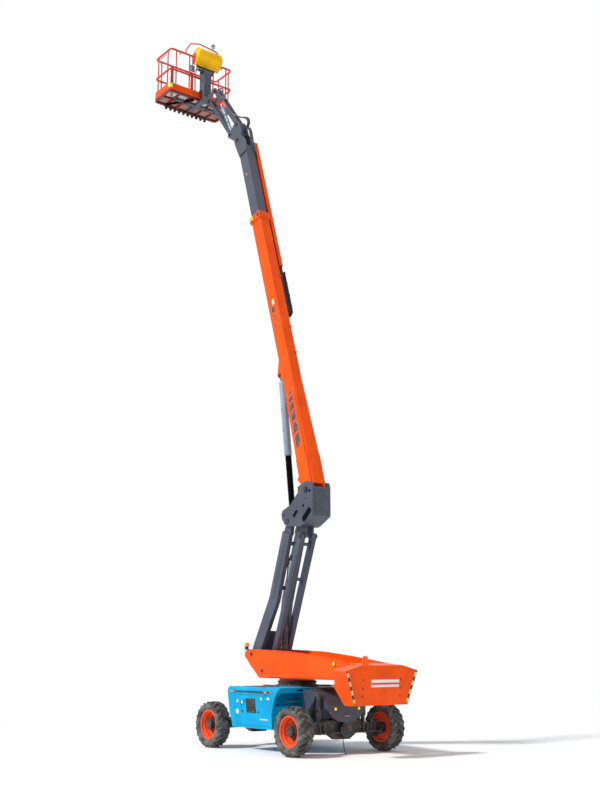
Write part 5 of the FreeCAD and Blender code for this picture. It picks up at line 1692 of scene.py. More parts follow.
@dataclass
class Boom(Jointed):
    """The telescopic boom with its collar, wear pads, chain and pipes."""

    body: str = "boom"
    tilt: float = BOOM_TILT
    half_width: float = 0.125
    collar: float = 6.49
    chain_y: float = -0.197
    chain_low: float = -0.072
    chain_high: float = 0.105
    chain_turn: float = 4.118
    links_high: int = 52
    links_low: int = 18
    links_bent: int = 6

    def __post_init__(self) -> None:
        """Stands the frame on the boom's root pin."""
        self.station = Station.at_joint("boom_lift", self.tilt)

    def flare(self, along: float) -> float:
        """Half width over the flared root at a place along the boom."""
        return 0.18 - 0.0305 * max(0.0, along - 0.76) if along < 2.5 else self.half_width

    def mouth(self) -> None:
        """Wear pads, their keepers and setting bolts on the collar."""
        for out, tag in SIDES:
            pad = Bench.block((0.1, 0.022, 0.105), (self.collar + 0.022, out * 0.15, -0.105), 0.006)
            self.settle(pad, f"collar_pad_{tag}", "pad_yellow")
            keepers = [
                Bench.block((0.016, 0.018, 0.115), (self.collar - 0.038, out * 0.15, -0.105), 0.003),
                Bench.block((0.075, 0.014, 0.06), (self.collar + 0.01, out * 0.149, 0.12), 0.003),
            ]
            self.settle(keepers, f"pad_keepers_{tag}", "dark_iron")
            screws = [shift(self.collar - 0.045, out * 0.145, z) for z in (-0.14, -0.09, 0.09, 0.14)]
            self.bolts(f"collar_bolts_{tag}", screws, 0.01, Axis.Y, 0.008)
        caps = [
            shift(self.collar + x, y, z) for x in (-0.04, 0.03) for y in (-0.08, 0.08) for z in (-0.185, 0.185)
        ]
        self.bolts("collar_face_bolts", caps, 0.01, Axis.Z, 0.008)

    def decals(self) -> None:
        """Slanted plain bars on the flared root and small plain blocks further up, on both sides."""
        for out, tag in SIDES:
            bars = []
            for start, end in (
                (0.9, 1.16), (1.21, 1.43), (1.48, 1.66), (1.71, 1.85), (1.9, 2.0), (2.05, 2.11),
            ):
                outline = [(start, -0.07), (end, -0.07), (end + 0.06, 0.07), (start + 0.06, 0.07)]
                bar = Bench.plate(outline, Axis.Y, 0.0, 0.003, 0.0006)
                for vertex in bar.data.vertices:
                    vertex.co.y += out * (self.flare(vertex.co.x) + 0.0005)
                bars.append(bar)
            self.settle(bars, f"boom_bars_{tag}", "stripe_dark")
            face = out * (self.half_width + 0.0006)
            sizes = (
                (4.12, 0.13, 0.11), (3.96, 0.06, 0.09), (3.87, 0.05, 0.06), (3.79, 0.05, 0.06),
                (3.71, 0.05, 0.06),
            )
            marks = [
                Bench.block((wide, 0.002, tall), (along, face, -0.01), 0.0006) for along, wide, tall in sizes
            ]
            self.settle(marks, f"boom_marks_{tag}", "stripe_dark")
            label = Bench.block((0.12, 0.002, 0.07), (4.28, face, 0.03), 0.0006)
            self.settle(label, f"boom_label_{tag}", "label_cream")
            bead = [(2.55, out * 0.1255, -0.128), (4.4, out * 0.1255, -0.128), (6.36, out * 0.1255, -0.128)]
            self.settle(Bench.bead(bead, 0.0035), f"boom_bead_{tag}", "orange_coat")

    def pipework(self) -> None:
        """Pipes, the holding valve, edge hooks, the root's and the tray's bolts, and the ram's pins."""
        self.run(
            "boom_pipe", [(-0.134, -0.006), (-0.134, 0.014), (-0.134, 0.034)], 0.95, 6.36, 0.0065,
            (1.2, 1.9, 2.6, 3.3, 4.4, 5.4, 6.2), "zinc",
        )
        valve = Bench.joined([
            Bench.block((0.16, 0.07, 0.05), (2.3, 0.0, -0.186), 0.004),
            Bench.drum(0.02, 0.07, (2.21, 0.0, -0.19), Axis.X, 16, 0.003),
            Bench.drum(0.014, 0.05, (2.39, 0.0, -0.192), Axis.X, 6, 0.002),
        ])
        self.settle(valve, "boom_valve", "zinc")
        screws = [shift(x, -0.128, -0.088) for x in (3.13, 4.13, 5.13, 6.13)]
        self.bolts("tray_bolts", screws, 0.009, Axis.Y, 0.006)
        hooks = []
        for along in (3.027, 3.646, 4.9):
            bend = ((-0.095, 0.155), (-0.1, 0.182), (-0.124, 0.19), (-0.136, 0.172))
            hooks.append(Bench.tube([(along, y, z) for y, z in bend], 0.009))
            hooks.append(Bench.block((0.06, 0.05, 0.01), (along, -0.09, 0.162), 0.002))
        self.settle(hooks, "edge_hooks", "knob_red")
        for out, tag in SIDES:
            spots = [shift(x, out * 0.18, z) for x in (0.22, 0.42, 0.62) for z in (0.12, -0.12)]
            self.bolts(f"cheek_bolts_{tag}", spots, 0.012, Axis.Y, 0.008, "orange_coat")
        self.pins("boom_ram_pins", [(2.69, -0.286, 0.074, 0.038)])

    def link_part(self) -> Piece:
        """One link of the energy chain: two side plates, two cross bars and its pin bosses."""
        parts = []
        for out in (-1, 1):
            lower = [(-0.034, -0.01), (-0.022, -0.0205), (0.022, -0.0205), (0.034, -0.01)]
            upper = [(x, -z) for x, z in reversed(lower)]
            parts.append(Bench.plate(lower + upper, Axis.Y, out * 0.0365, 0.0065, 0.0012))
            parts.append(Bench.drum(0.008, 0.003, (0.022, out * 0.04, 0), Axis.Y, 10, 0.001))
        for up in (-1, 1):
            parts.append(Bench.block((0.018, 0.07, 0.004), (-0.006, 0, up * 0.0195), 0.001))
        return Bench.joined(parts)

    def chain(self) -> None:
        """The energy chain: both runs and the bend between them, with its cables."""
        pitch, radius = 0.05, (self.chain_high - self.chain_low) / 2
        middle = (self.chain_high + self.chain_low) / 2
        places = []
        for number in range(self.links_high):
            places.append(shift(self.chain_turn + pitch * (number + 0.5), self.chain_y, self.chain_high))
        for number in range(self.links_low):
            spot = shift(self.chain_turn + pitch * (number + 0.5), self.chain_y, self.chain_low)
            places.append(spot @ turn(180, Axis.X))
        for number in range(self.links_bent):
            angle = 180 * (number + 0.5) / self.links_bent
            places.append(
                shift(self.chain_turn, self.chain_y, middle) @ turn(-angle, Axis.Y) @ shift(0, 0, radius)
            )

        def bend(y: float, reach: float, angles: range) -> list[Point]:
            """Points of a cable round the bend."""
            turned = [math.radians(angle) for angle in angles]
            return [(self.chain_turn - reach * math.sin(a), y, middle + reach * math.cos(a)) for a in turned]

        chain = Bench.copies(self.link_part(), places)
        self.settle(chain, "energy_chain", "chain_black", "cable_chain")
        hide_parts("cable_chain")
        cables = []
        for aside, thick in ((-0.016, 0.008), (0.0, 0.01), (0.016, 0.007)):
            y = self.chain_y + aside
            path = [(6.73, y, self.chain_high), (self.chain_turn, y, self.chain_high)]
            path += bend(y, radius, range(15, 180, 30))
            path += [(self.chain_turn, y, self.chain_low), (5.02, y, self.chain_low)]
            cables.append(Bench.bead(path, thick))
        side_y = self.chain_y - 0.08
        for reach in (0.1, 0.061):
            path = bend(side_y, reach, range(0, 181, 20))
            path = [(5.08, side_y, middle + reach)] + path + [(5.08, side_y, middle - reach)]
            cables.append(Bench.tube(path, 0.019, 4))
        straps = [
            Bench.block((0.022, 0.042, 0.082), (along, side_y, middle + up * 0.0805), 0.006)
            for along in (4.22, 4.5, 4.78, 5.06) for up in (-1, 1)
        ]
        straps.append(Bench.block((0.034, 0.034, 0.05), (4.18, side_y + 0.028, middle + 0.0805), 0.004))
        self.settle(straps, "chain_straps", "dark_iron", "cable_chain")
        self.settle(cables, "chain_cables", "hose_black", "cable_chain")

    def build(self) -> None:
        """Makes the boom."""
        self.dress("orange_coat", "base_boom", "cable_rail")
        self.dress("slate_coat", "fly_boom")
        self.dress("dark_iron", "cable_tray")
        self.dress("ram_coat", "boom_ram_barrel", "level_ram_barrel", "jib_ram_barrel")
        # The level ram's rod is darkened as painted shade inside the head bracket.
        self.dress("rod_black", "boom_ram_rod", "level_ram_rod")
        self.dress("rod_plating", "jib_ram_rod")
        self.mouth()
        self.decals()
        self.pipework()
        self.chain()


# ---- head and jib


@dataclass
class Head(Jointed):
    """The boom's head, the jib and the platform's rotator."""

    body: str = "head"
    rotator_x: float = 0.62

    def __post_init__(self) -> None:
        """Finds the frames of the boom, the head, the jib and its end."""
        self.boom = Station.at_joint("boom_lift", BOOM_TILT)
        self.jib = Station.at_joint("jib_lift", JIB_TILT)
        self.link = Station.at_joint("jib_link_swing", JIB_TILT)
        self.end = Station.at_joint("jib_end_level")

    def fly(self) -> None:
        """Pins, bolts, beads and rail screws at the end of the inner boom."""
        self.body, self.station = "fly", self.boom
        self.pins("level_pins", [(8.777, -0.103, 0.14, 0.042)])
        for out, tag in SIDES:
            face = 0.13
            spots = [
                shift(x, out * face, z)
                for x, z in ((8.34, 0.1), (8.34, 0.0), (8.34, -0.1), (8.56, 0.165), (8.46, 0.1))
            ]
            self.bolts(f"fly_bolts_{tag}", spots, 0.011, Axis.Y, 0.007)
            bead = [(8.305, out * 0.111, -0.128), (8.303, out * 0.1115, 0.0), (8.305, out * 0.111, 0.128)]
            self.settle(Bench.bead(bead, 0.004), f"fly_bead_{tag}", "slate_coat")
            plug = Bench.drum(0.022, 0.006, (7.72, out * 0.1115, -0.02), Axis.Y, 20, 0.001, (0.006, -0.002))
            self.settle(plug, f"fly_plug_{tag}", "label_orange")
        screws = [shift(5.45 + 0.6 * number, -0.246, 0.105) for number in range(6)]
        self.bolts("rail_bolts", screws, 0.009, Axis.Y, 0.006, "orange_coat")
        edge = [(5.25, -0.2445, 0.14), (6.9, -0.2445, 0.14), (8.57, -0.2445, 0.14)]
        self.settle(Bench.bead(edge, 0.004), "rail_bead", "orange_coat")

    def plates(self) -> None:
        """Pins and bolts on the head's plates and on the jib's end."""
        self.body, self.station = "head", Station.at_joint("head_level")
        self.pins("head_pins", [(0.08, 0.428, 0.112, 0.038), (0.35, 0.275, 0.112, 0.034)])
        spots = [
            shift(x, out * 0.102, z)
            for out in (-1, 1) for x, z in ((-0.05, 0.2), (0.05, 0.1), (0.0, 0.3), (0.2, 0.27))
        ]
        self.bolts("head_bolts", spots, 0.011, Axis.Y, 0.007)
        self.body, self.station = "jib_end", self.end
        self.pins("jib_end_pins", [(0.0, 0.0, 0.112, 0.038), (0.27, -0.153, 0.112, 0.034)])
        spots = [
            shift(x, out * 0.102, z)
            for out in (-1, 1) for x, z in ((0.12, 0.0), (0.36, -0.02), (0.42, 0.02), (0.24, -0.03))
        ]
        self.bolts("jib_end_bolts", spots, 0.01, Axis.Y, 0.007)

    def arms(self) -> None:
        """Labels, rub strips, hoses and clamps on the jib's bars."""
        self.body, self.station = "jib", self.jib
        for out, tag in SIDES:
            label = Bench.block((0.26, 0.002, 0.06), (0.92, out * 0.0806, 0.0), 0.0008)
            self.settle(label, f"jib_label_{tag}", "label_red")
            strip = Bench.block((0.3, 0.004, 0.05), (0.58, out * 0.081, 0.0), 0.001)
            self.settle(strip, f"jib_strip_{tag}", "slate_coat")
        self.run(
            "jib_hose", [(-0.09, 0.03), (-0.09, 0.008), (-0.09, -0.014), (-0.09, -0.036)], 0.49, 1.42, 0.0095,
            (0.56, 0.84, 1.12, 1.36),
        )
        self.body, self.station = "jib_link", self.link
        for out, tag in SIDES:
            strip = Bench.block((1.1, 0.004, 0.034), (0.8, out * 0.08, 0.0), 0.001)
            self.settle(strip, f"jib_link_strip_{tag}", "slate_coat")

    def rotator(self) -> None:
        """Flange, bolts, ribs, motor and ports of the platform's rotator."""
        self.body, self.station = "jib_end", self.end
        x = self.rotator_x
        low = [(0.254, 0.109), (0.254, 0.122), (0.272, 0.122), (0.276, 0.109)]
        high = [(0.738, 0.109), (0.738, 0.119), (0.764, 0.119), (0.77, 0.109)]
        flanges = [Bench.lathe(section, (x, 0, 0), Axis.Z, 48) for section in (low, high)]
        self.settle(flanges, "rotator_flanges", "slate_coat")
        self.bolts("rotator_bolts", around(12, 0.092, (x, 0, 0.772), Axis.Z), 0.009, Axis.Z, 0.008)
        lid = Bench.drum(0.07, 0.01, (x, 0, 0.776), Axis.Z, 32, 0.002, (0.016, 0.004))
        self.settle(lid, "rotator_lid", "dark_iron")
        for out, tag in SIDES:
            motor = Bench.joined([
                Bench.block((0.09, 0.066, 0.064), (x - 0.06, out * 0.105, 0.77), 0.006),
                Bench.drum(0.036, 0.07, (x - 0.06, out * 0.168, 0.772), Axis.Y, 28, 0.004, (0.01, 0.005)),
                Bench.drum(0.014, 0.03, (x - 0.082, out * 0.112, 0.808), Axis.Z, 12, 0.002),
                Bench.drum(0.014, 0.03, (x - 0.038, out * 0.112, 0.808), Axis.Z, 12, 0.002),
            ])
            self.settle(motor, f"rotator_motor_{tag}", "dark_iron")
        outline = [(x - 0.15, 0.27), (x - 0.172, 0.5), (x - 0.164, 0.58), (x - 0.15, 0.58)]
        ribs = [Bench.plate(outline, Axis.Y, y, 0.01, 0.002) for y in (-0.06, 0.06)]
        self.settle(ribs, "rotator_ribs", "slate_coat")

    def hoses(self) -> None:
        """Hose loops at the head and at the jib's end, on the right side."""
        for number, aside in enumerate((-0.13, -0.148, -0.166)):
            grow = 0.012 * number
            loop = [
                (0.8, aside, 13.02), (0.815 - grow, aside, 13.14), (0.855 - grow, aside, 13.28),
                (0.895 - grow, aside, 13.42 + grow), (0.96, aside * 0.97, 13.53 + grow),
                (1.03, aside * 0.94, 13.53),
            ]
            self.flex(f"head_hose_{number}", loop, 0.014, ("fly", "head"), (0.8, 0, 13.2), (0.96, 0, 13.5))
            over = [
                (1.02, aside * 0.94, 13.535), (0.985 - grow, aside * 0.97, 13.59),
                (0.965 - grow, aside, 13.68 + grow), (1.035 - grow, aside, 13.79 + grow),
                (1.16, aside * 0.97, 13.86 + grow), (1.3, aside * 0.9, 13.93), (1.405, -0.094, 13.985 + grow),
            ]
            self.flex(
                f"jib_root_hose_{number}", over, 0.014, ("head", "jib"), (1.0, 0, 13.62), (1.25, 0, 13.88),
            )
            top = [
                (1.955, -0.092, 14.735 + grow), (1.99, -0.105, 14.8 + grow), (2.02, -0.125, 14.9),
                (2.08, -0.13 - grow, 15.02), (2.2, -0.135 - grow, 15.06), (2.33, -0.13, 15.02),
            ]
            self.flex(
                f"jib_top_hose_{number}", top, 0.01, ("jib", "jib_end"), (1.98, 0, 14.8), (2.18, 0, 15.05),
            )
        clamp = Bench.joined([
            Bench.block((0.06, 0.02, 0.08), (1.01, -0.118, 13.55), 0.004),
            Bench.block((0.05, 0.085, 0.034), (1.01, -0.15, 13.545), 0.006),
        ])
        self.settle(clamp, "head_hose_clamp", "dark_iron", "head", WORLD)
        for number, aside in enumerate((-0.035, 0.035)):
            rise = [
                (2.3, aside, 15.0), (2.4, aside, 15.06), (2.49, aside, 15.16), (2.545, aside, 15.3),
                (2.56, aside, 15.4), (2.59, aside, 15.44),
            ]
            self.settle(Bench.tube(rise, 0.01), f"rotator_hose_{number}", "hose_black", "jib_end", WORLD)

    def build(self) -> None:
        """Makes the head and the jib."""
        self.dress("slate_coat", "head_bracket", "jib_arm", "jib_link", "jib_end")
        self.fly()
        self.plates()
        self.arms()
        self.rotator()
        self.hoses()


# ---- platform


@dataclass
class Platform(Jointed):
    """The work platform: mesh floor, console, rails' fittings, lamp and teeth."""

    body: str = "platform"
    near: float = 0.12
    deep: float = 0.75
    half: float = 0.9
    corner: float = 0.09
    rail_inset: float = 0.0203
    toe_z: tuple[float, float] = (0.045, 0.135)
    lead_y: tuple[float, ...] = (0.2, 0.16, -0.2, -0.28)
    pad_y: tuple[float, ...] = (-0.56, -0.3, 0.3, 0.56)
    console_y: float = -0.075
    lamp: tuple[float, float, float] = (0.1403, -0.33, 1.58)

    def __post_init__(self) -> None:
        """Stands the frame on the rotator's axis at floor height."""
        self.station = Station.at_joint("platform_rotate")

    def floor(self) -> None:
        """Expanded-metal tread: a lattice of diamonds cut to the floor's edge."""
        Bench.clear()
        bpy.ops.mesh.primitive_grid_add(x_subdivisions=52, y_subdivisions=52, size=1.0)
        obj = bpy.context.object
        obj.data.transform(Matrix.Diagonal((2.3, 1.45, 1, 1)) @ turn(45, Axis.Z))
        obj.data.transform(turn(90, Axis.Z))
        low_x, high_x, reach = self.near + 0.04, self.near + self.deep - 0.04, self.half - 0.04
        obj.data.transform(shift((low_x + high_x) / 2, 0, 0.002))

        def trim() -> None:
            """Cuts the lattice on its four sides."""
            cuts = (
                ((low_x, 0, 0), (-1, 0, 0)), ((high_x, 0, 0), (1, 0, 0)), ((0, -reach, 0), (0, -1, 0)),
                ((0, reach, 0), (0, 1, 0)),
            )
            for place, normal in cuts:
                bpy.ops.mesh.select_all(action="SELECT")
                bpy.ops.mesh.bisect(plane_co=place, plane_no=normal, clear_outer=True)

        Bench.shaped(trim)
        modifier = obj.modifiers.new("strands", "WIREFRAME")
        modifier.thickness = 0.011
        modifier.use_boundary = True
        modifier.use_even_offset = False
        bpy.ops.object.modifier_apply(modifier=modifier.name)
        tread = self.settle(obj, "floor_tread", "tread_plating", smooth=20)
        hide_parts("floor_plate")
        frame_x = [low_x + 0.02, high_x - 0.02]
        clips = [shift(x, y, 0.004) for x in frame_x for y in (-0.82, -0.55, -0.28, 0.0, 0.28, 0.55, 0.82)]
        clip = Bench.joined([
            Bench.block((0.03, 0.024, 0.003), ORIGIN, 0.001), Bench.bolt(0.007, (0, 0, 0.001), Axis.Z, 0.005),
        ])
        self.settle(Bench.copies(clip, clips), "tread_clips", "bolt_iron")

    def cover(self) -> None:
        """The hinged yellow cover over the console, with its ribs, rim and hinge."""
        profile = [
            (0.114, 1.045), (0.056, 1.192), (0.02, 1.236), (-0.03, 1.243), (-0.085, 1.232), (-0.13, 1.205),
            (-0.16, 1.165), (-0.18, 1.115), (-0.185, 1.06), (-0.184, 1.005), (-0.168, 0.955), (-0.135, 0.907),
            (-0.085, 0.87), (-0.03, 0.836), (0.026, 0.802), (0.114, 0.87),
        ]
        shell = Bench.plate(profile, Axis.Y, self.console_y, 0.672, 0.012)
        cover = self.settle(shell, "console_cover", "cover_yellow", smooth=50)
        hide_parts("console")
        for number, y in enumerate((self.console_y - 0.3, self.console_y + 0.3)):
            rib = Bench.bead([(x - 0.003, y, z + 0.001) for x, z in profile[1:15]], 0.006)
            self.settle(rib, f"cover_rib_{number}", "cover_yellow", smooth=50)
        rim = [(0.026, 0.8), (0.113, 0.868), (0.114, 1.044), (0.058, 1.192)]
        rims = [Bench.bead([(x, self.console_y + out * 0.336, z) for x, z in rim], 0.005) for out in (-1, 1)]
        self.settle(rims, "cover_rims", "panel_black")
        hinge = Bench.drum(0.008, 0.6, (0.064, self.console_y, 1.196), Axis.Y, 16, 0.001)
        self.settle(hinge, "cover_hinge", "dark_iron")

    def controls(self) -> None:
        """The control box, its levers, switches and stop button, with brackets, leads and sockets."""
        box = Bench.plate(
            [(0.004, 0.87), (0.02, 0.806), (0.05, 0.784), (0.108, 0.806), (0.112, 0.88), (0.04, 0.9)], Axis.Y,
            self.console_y, 0.5, 0.006,
        )
        self.settle(box, "control_box", "panel_black")
        boot = [
            (0.0, 0.006), (0.0, 0.032), (0.01, 0.03), (0.014, 0.024), (0.02, 0.024), (0.024, 0.017),
            (0.03, 0.017), (0.036, 0.01), (0.04, 0.006),
        ]
        knob = [(0.086, 0.002), (0.09, 0.015), (0.104, 0.019), (0.118, 0.015), (0.124, 0.002)]
        levers, knobs, boots = [], [], []
        for y in (-0.27, 0.12):
            boots.append(Bench.lathe(boot, (0, y, 0), Axis.Z, 24))
            levers.append(Bench.drum(0.006, 0.07, (0, y, 0.06), Axis.Z, 12, 0.001))
            knobs.append(Bench.lathe(knob, (0, y, 0), Axis.Z, 20))
        for number in range(7):
            y = -0.2 + 0.042 * number
            levers.append(Bench.drum(0.0035, 0.028, (0.012 * (number % 2), y, 0.014), Axis.Z, 8, 0.001))
            boots.append(Bench.drum(0.009, 0.006, (0.012 * (number % 2), y, 0.003), Axis.Z, 6, 0.001))
        stop = Bench.drum(0.02, 0.022, (0.0, 0.205, 0.018), Axis.Z, 28, 0.003, (0.006, 0.002))
        ring = Bench.drum(0.03, 0.006, (0.0, 0.205, 0.003), Axis.Z, 28, 0.001, (0.004, 0.001))
        lean = shift(0.088, 0, 1.115) @ turn(66, Axis.Y)
        for parts, name, finish in (
            (levers, "control_levers", "bolt_iron"), (knobs, "control_knobs", "panel_black"),
            (boots, "control_boots", "hose_black"), ([stop], "stop_button", "knob_red"),
            ([ring], "stop_ring", "label_yellow"),
        ):
            piece = Bench.joined(parts)
            piece.data.transform(lean)
            self.settle(piece, name, finish)
        arms = [
            Bench.block((0.02, 0.018, 0.2), (0.088, self.console_y + out * 0.24, 0.8), 0.003)
            for out in (-1, 1)
        ]
        self.settle(arms, "console_brackets", "slate_coat")
        plugs = [
            Bench.drum(0.016, 0.05, (x, y, 0.8), Axis.Z, 16, 0.003, (0.004, 0.002))
            for x, y in ((0.02, 0.2), (0.03, 0.16), (0.03, -0.2), (0.02, -0.28))
        ]
        self.settle(plugs, "console_plugs", "dark_iron")
        for number, y in enumerate(self.lead_y):
            lead = [
                (0.025, y, 0.79), (0.03, y, 0.745), (0.08, y, 0.705), (0.15, y * 0.95, 0.69),
                (0.172, y * 0.9, 0.62), (0.172, y * 0.85, 0.35), (0.172, y * 0.8, 0.1), (0.18, y * 0.8, 0.012),
            ]
            self.settle(Bench.tube(lead, 0.0075), f"console_lead_{number}", "hose_black")
        clips = [Bench.block((0.024, 0.022, 0.016), (0.166, y * 0.88, 0.55), 0.003) for y in self.lead_y]
        self.settle(clips, "lead_clips", "panel_black")
        self.settle(Bench.block((0.05, 0.11, 0.16), (0.095, 0.29, 0.72), 0.006), "socket_box", "lamp_grey")
        lids = [
            Bench.drum(0.02, 0.016, (0.066, 0.29, z), Axis.X, 20, 0.003, (0.005, 0.002)) for z in (0.69, 0.75)
        ]
        self.settle(lids, "socket_lids", "panel_black")

    def rails(self) -> None:
        """Post sockets, gate fittings, harness rings, grab bar and loose fittings on the rails."""
        post_x = self.near + self.rail_inset
        far_x = self.near + self.deep - self.rail_inset
        spots = [(post_x, y) for y in (-0.72, -0.345, 0.345, 0.72)]
        spots += [(far_x, y) for y in (-0.72, 0.72, -0.185, 0.445)]
        spots += [
            (self.near + x, out * (self.half - self.rail_inset))
            for x in (0.15, self.deep - 0.15) for out in (-1, 1)
        ]
        sleeve = Bench.lathe(
            [(0.0, 0.0155), (0.0, 0.0215), (0.1, 0.0215), (0.104, 0.0155)], ORIGIN, Axis.Z, 24,
        )
        self.settle(Bench.copies(sleeve, [shift(x, y, 0.065) for x, y in spots]), "post_sockets", "rail_coat")
        collar = Bench.collar(0.0, 0.012, 0.0155, 0.0195, ORIGIN, Axis.Z, 20)
        self.settle(Bench.copies(collar, [shift(x, y, 0.52) for x, y in spots]), "post_collars", "rail_coat")
        screws = [
            shift(self.near + x, y, z)
            for y in (-0.8, -0.55, -0.2, 0.2, 0.55, 0.8) for x in (0.0, self.deep) for z in self.toe_z
        ]
        self.bolts("toe_bolts", screws, 0.008, Axis.X, 0.005)
        ends = [
            shift(self.near + x, out * self.half, z)
            for out in (-1, 1) for x in (0.16, 0.38, 0.6) for z in self.toe_z
        ]
        self.bolts("toe_end_bolts", ends, 0.008, Axis.Y, 0.005)
        bar = [
            (0.42, 0.876, 1.068), (0.42, 0.868, 1.035), (0.44, 0.868, 1.022), (0.55, 0.868, 1.022),
            (0.68, 0.868, 1.022), (0.7, 0.868, 1.035), (0.7, 0.876, 1.068),
        ]
        self.settle(Bench.bead(bar, 0.01, 3), "grab_bar", "lamp_grey")
        latch = Bench.joined([
            Bench.block((0.04, 0.19, 0.042), (far_x, -0.065, 1.083), 0.006),
            Bench.block((0.052, 0.035, 0.07), (far_x, -0.155, 1.07), 0.005),
            Bench.drum(0.012, 0.05, (far_x - 0.03, -0.12, 1.075), Axis.X, 16, 0.003),
        ])
        self.settle(latch, "gate_latch", "knob_red")
        hinges = [
            Bench.drum(0.024, 0.07, (far_x, 0.428, z), Axis.Z, 20, 0.003, (0.008, 0.004))
            for z in (0.32, 0.66, 0.98)
        ]
        self.settle(hinges, "gate_hinges", "dark_iron")
        rings = [
            Bench.collar(0.0, 0.005, 0.018, 0.032, (post_x + 0.034, y, 1.048), Axis.Y) for y in (-0.6, 0.6)
        ]
        self.settle(rings, "harness_rings", "knob_red")
        inner, outer = [
            [
                (math.cos(math.radians(a)) * radius, math.sin(math.radians(a)) * radius)
                for a in range(95, 176, 10)
            ]
            for radius in (0.0895, 0.0918)
        ]
        label = Bench.plate(outer + inner[::-1], Axis.Z, 0.105, 0.105, 0.0004)
        label.data.transform(shift(self.near + self.corner, self.half - self.corner, 0))
        self.settle(label, "corner_label", "label_yellow")
        ties = [
            Bench.collar(y, 0.006, 0.0165, 0.0195, (post_x, 0, 1.083), Axis.Y, 20)
            for y in (-0.62, -0.48, 0.52, 0.66)
        ]
        self.settle(ties, "rail_ties", "panel_black")

    def lights(self) -> None:
        """The work lamp on its stalk, and its lead."""
        x, y, z = self.lamp
        bowl = Bench.lathe(
            [
                (0.02, 0.004), (0.02, 0.036), (0.014, 0.0435), (0.0, 0.0455), (-0.014, 0.0445),
                (-0.028, 0.038), (-0.038, 0.028), (-0.044, 0.014), (-0.0445, 0.002), (-0.03, 0.002),
                (0.012, 0.004),
            ],
            ORIGIN, Axis.X, 36,
        )
        aim = shift(x, y, z) @ turn(62, Axis.Y)
        bowl.data.transform(aim)
        lamp = self.settle(bowl, "lamp_bowl", "lamp_grey")
        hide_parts("work_lamp")
        glass = Bench.lathe(
            [(0.02, 0.001), (0.03, 0.001), (0.028, 0.02), (0.022, 0.034), (0.017, 0.034)], ORIGIN, Axis.X, 36,
        )
        glass.data.transform(aim)
        self.settle(glass, "lamp_glass_front", "lamp_glass")
        yoke = Bench.joined([
            Bench.drum(0.009, 0.06, (x, y, 1.5), Axis.Z, 16, 0.002),
            Bench.block((0.018, 0.1, 0.006), (x, y, 1.529), 0.002),
            Bench.block((0.016, 0.005, 0.056), (x, y - 0.048, 1.556), 0.002),
            Bench.block((0.016, 0.005, 0.056), (x, y + 0.048, 1.556), 0.002),
            Bench.drum(0.008, 0.112, (x, y, 1.578), Axis.Y, 12, 0.002),
        ])
        self.settle(yoke, "lamp_yoke", "dark_iron")
        lead = [
            (x + 0.03, y, 1.56), (x + 0.05, y, 1.52), (x + 0.026, y, 1.46), (x + 0.022, y - 0.09, 1.42),
            (x + 0.024, y - 0.155, 1.34), (x + 0.024, y - 0.16, 1.16),
        ]
        self.settle(Bench.tube(lead, 0.0045), "lamp_lead", "hose_black")

    def teeth(self) -> None:
        """Rubber sleeves on the step's teeth, with screws through the strip."""
        count, pitch = 10, 0.125
        x = self.near + self.deep - 0.024
        places = [shift(x, (number - (count - 1) / 2) * pitch, -0.105) for number in range(count)]
        tooth = Bench.plate(
            [(-0.031, 0.02), (-0.02, -0.034), (0.02, -0.034), (0.031, 0.02)], Axis.X, 0.0, 0.046, 0.006,
        )
        self.settle(Bench.copies(tooth, places), "tooth_sleeves", "hose_black")
        screws = [shift(x + 0.02, (number - 4) * pitch, -0.068) for number in range(9)]
        self.bolts("tooth_screws", screws, 0.006, Axis.X, 0.004)

    def post(self) -> None:
        """Collar bolts, gussets, the beam's pads and nuts, and the lead channel under the floor."""
        self.bolts("post_bolts", around(10, 0.086, (0, 0, 0.088), Axis.Z), 0.009, Axis.Z, 0.008)
        gussets = [
            Bench.plate(
                [(0.075, -0.062), (0.118, -0.062), (0.092, 0.06), (0.075, 0.075)], Axis.Y, y, 0.01, 0.002,
            )
            for y in (-0.045, 0.0, 0.045)
        ]
        self.settle(gussets, "post_gussets", "slate_coat")
        pads = [Bench.block((0.11, 0.07, 0.014), (0.35, y, -0.116), 0.003) for y in self.pad_y]
        self.settle(pads, "beam_pads", "dark_iron")
        channel = Bench.joined([
            Bench.block((0.74, 0.046, 0.044), ORIGIN, 0.005),
            *[Bench.block((0.03, 0.06, 0.052), (along, 0, 0), 0.004) for along in (-0.34, -0.12, 0.12, 0.34)],
        ])
        channel.data.transform(shift(0.42, 0.42, -0.088) @ turn(34, Axis.Z))
        self.settle(channel, "lead_channel", "matt_black")
        nuts = [shift(x, y, -0.123) for y in self.pad_y for x in (0.32, 0.38)]
        self.bolts("beam_nuts", nuts, 0.009, Axis.Z, 0.008)

    def build(self) -> None:
        """Makes the platform."""
        self.dress("slate_coat", "platform_post")
        # The floor grid's darker red is painted shade of the platform's underside.
        self.dress("grid_coat", "platform_floor")
        self.dress("orange_coat", "toe_boards")
        self.dress("rail_coat", "guard_rails", "gate", "console_guard")
        self.dress("hose_black", "step_teeth")
        self.floor()
        self.cover()
        self.controls()
        self.rails()
        self.lights()
        self.teeth()
        self.post()


# ---- camera, light and floor


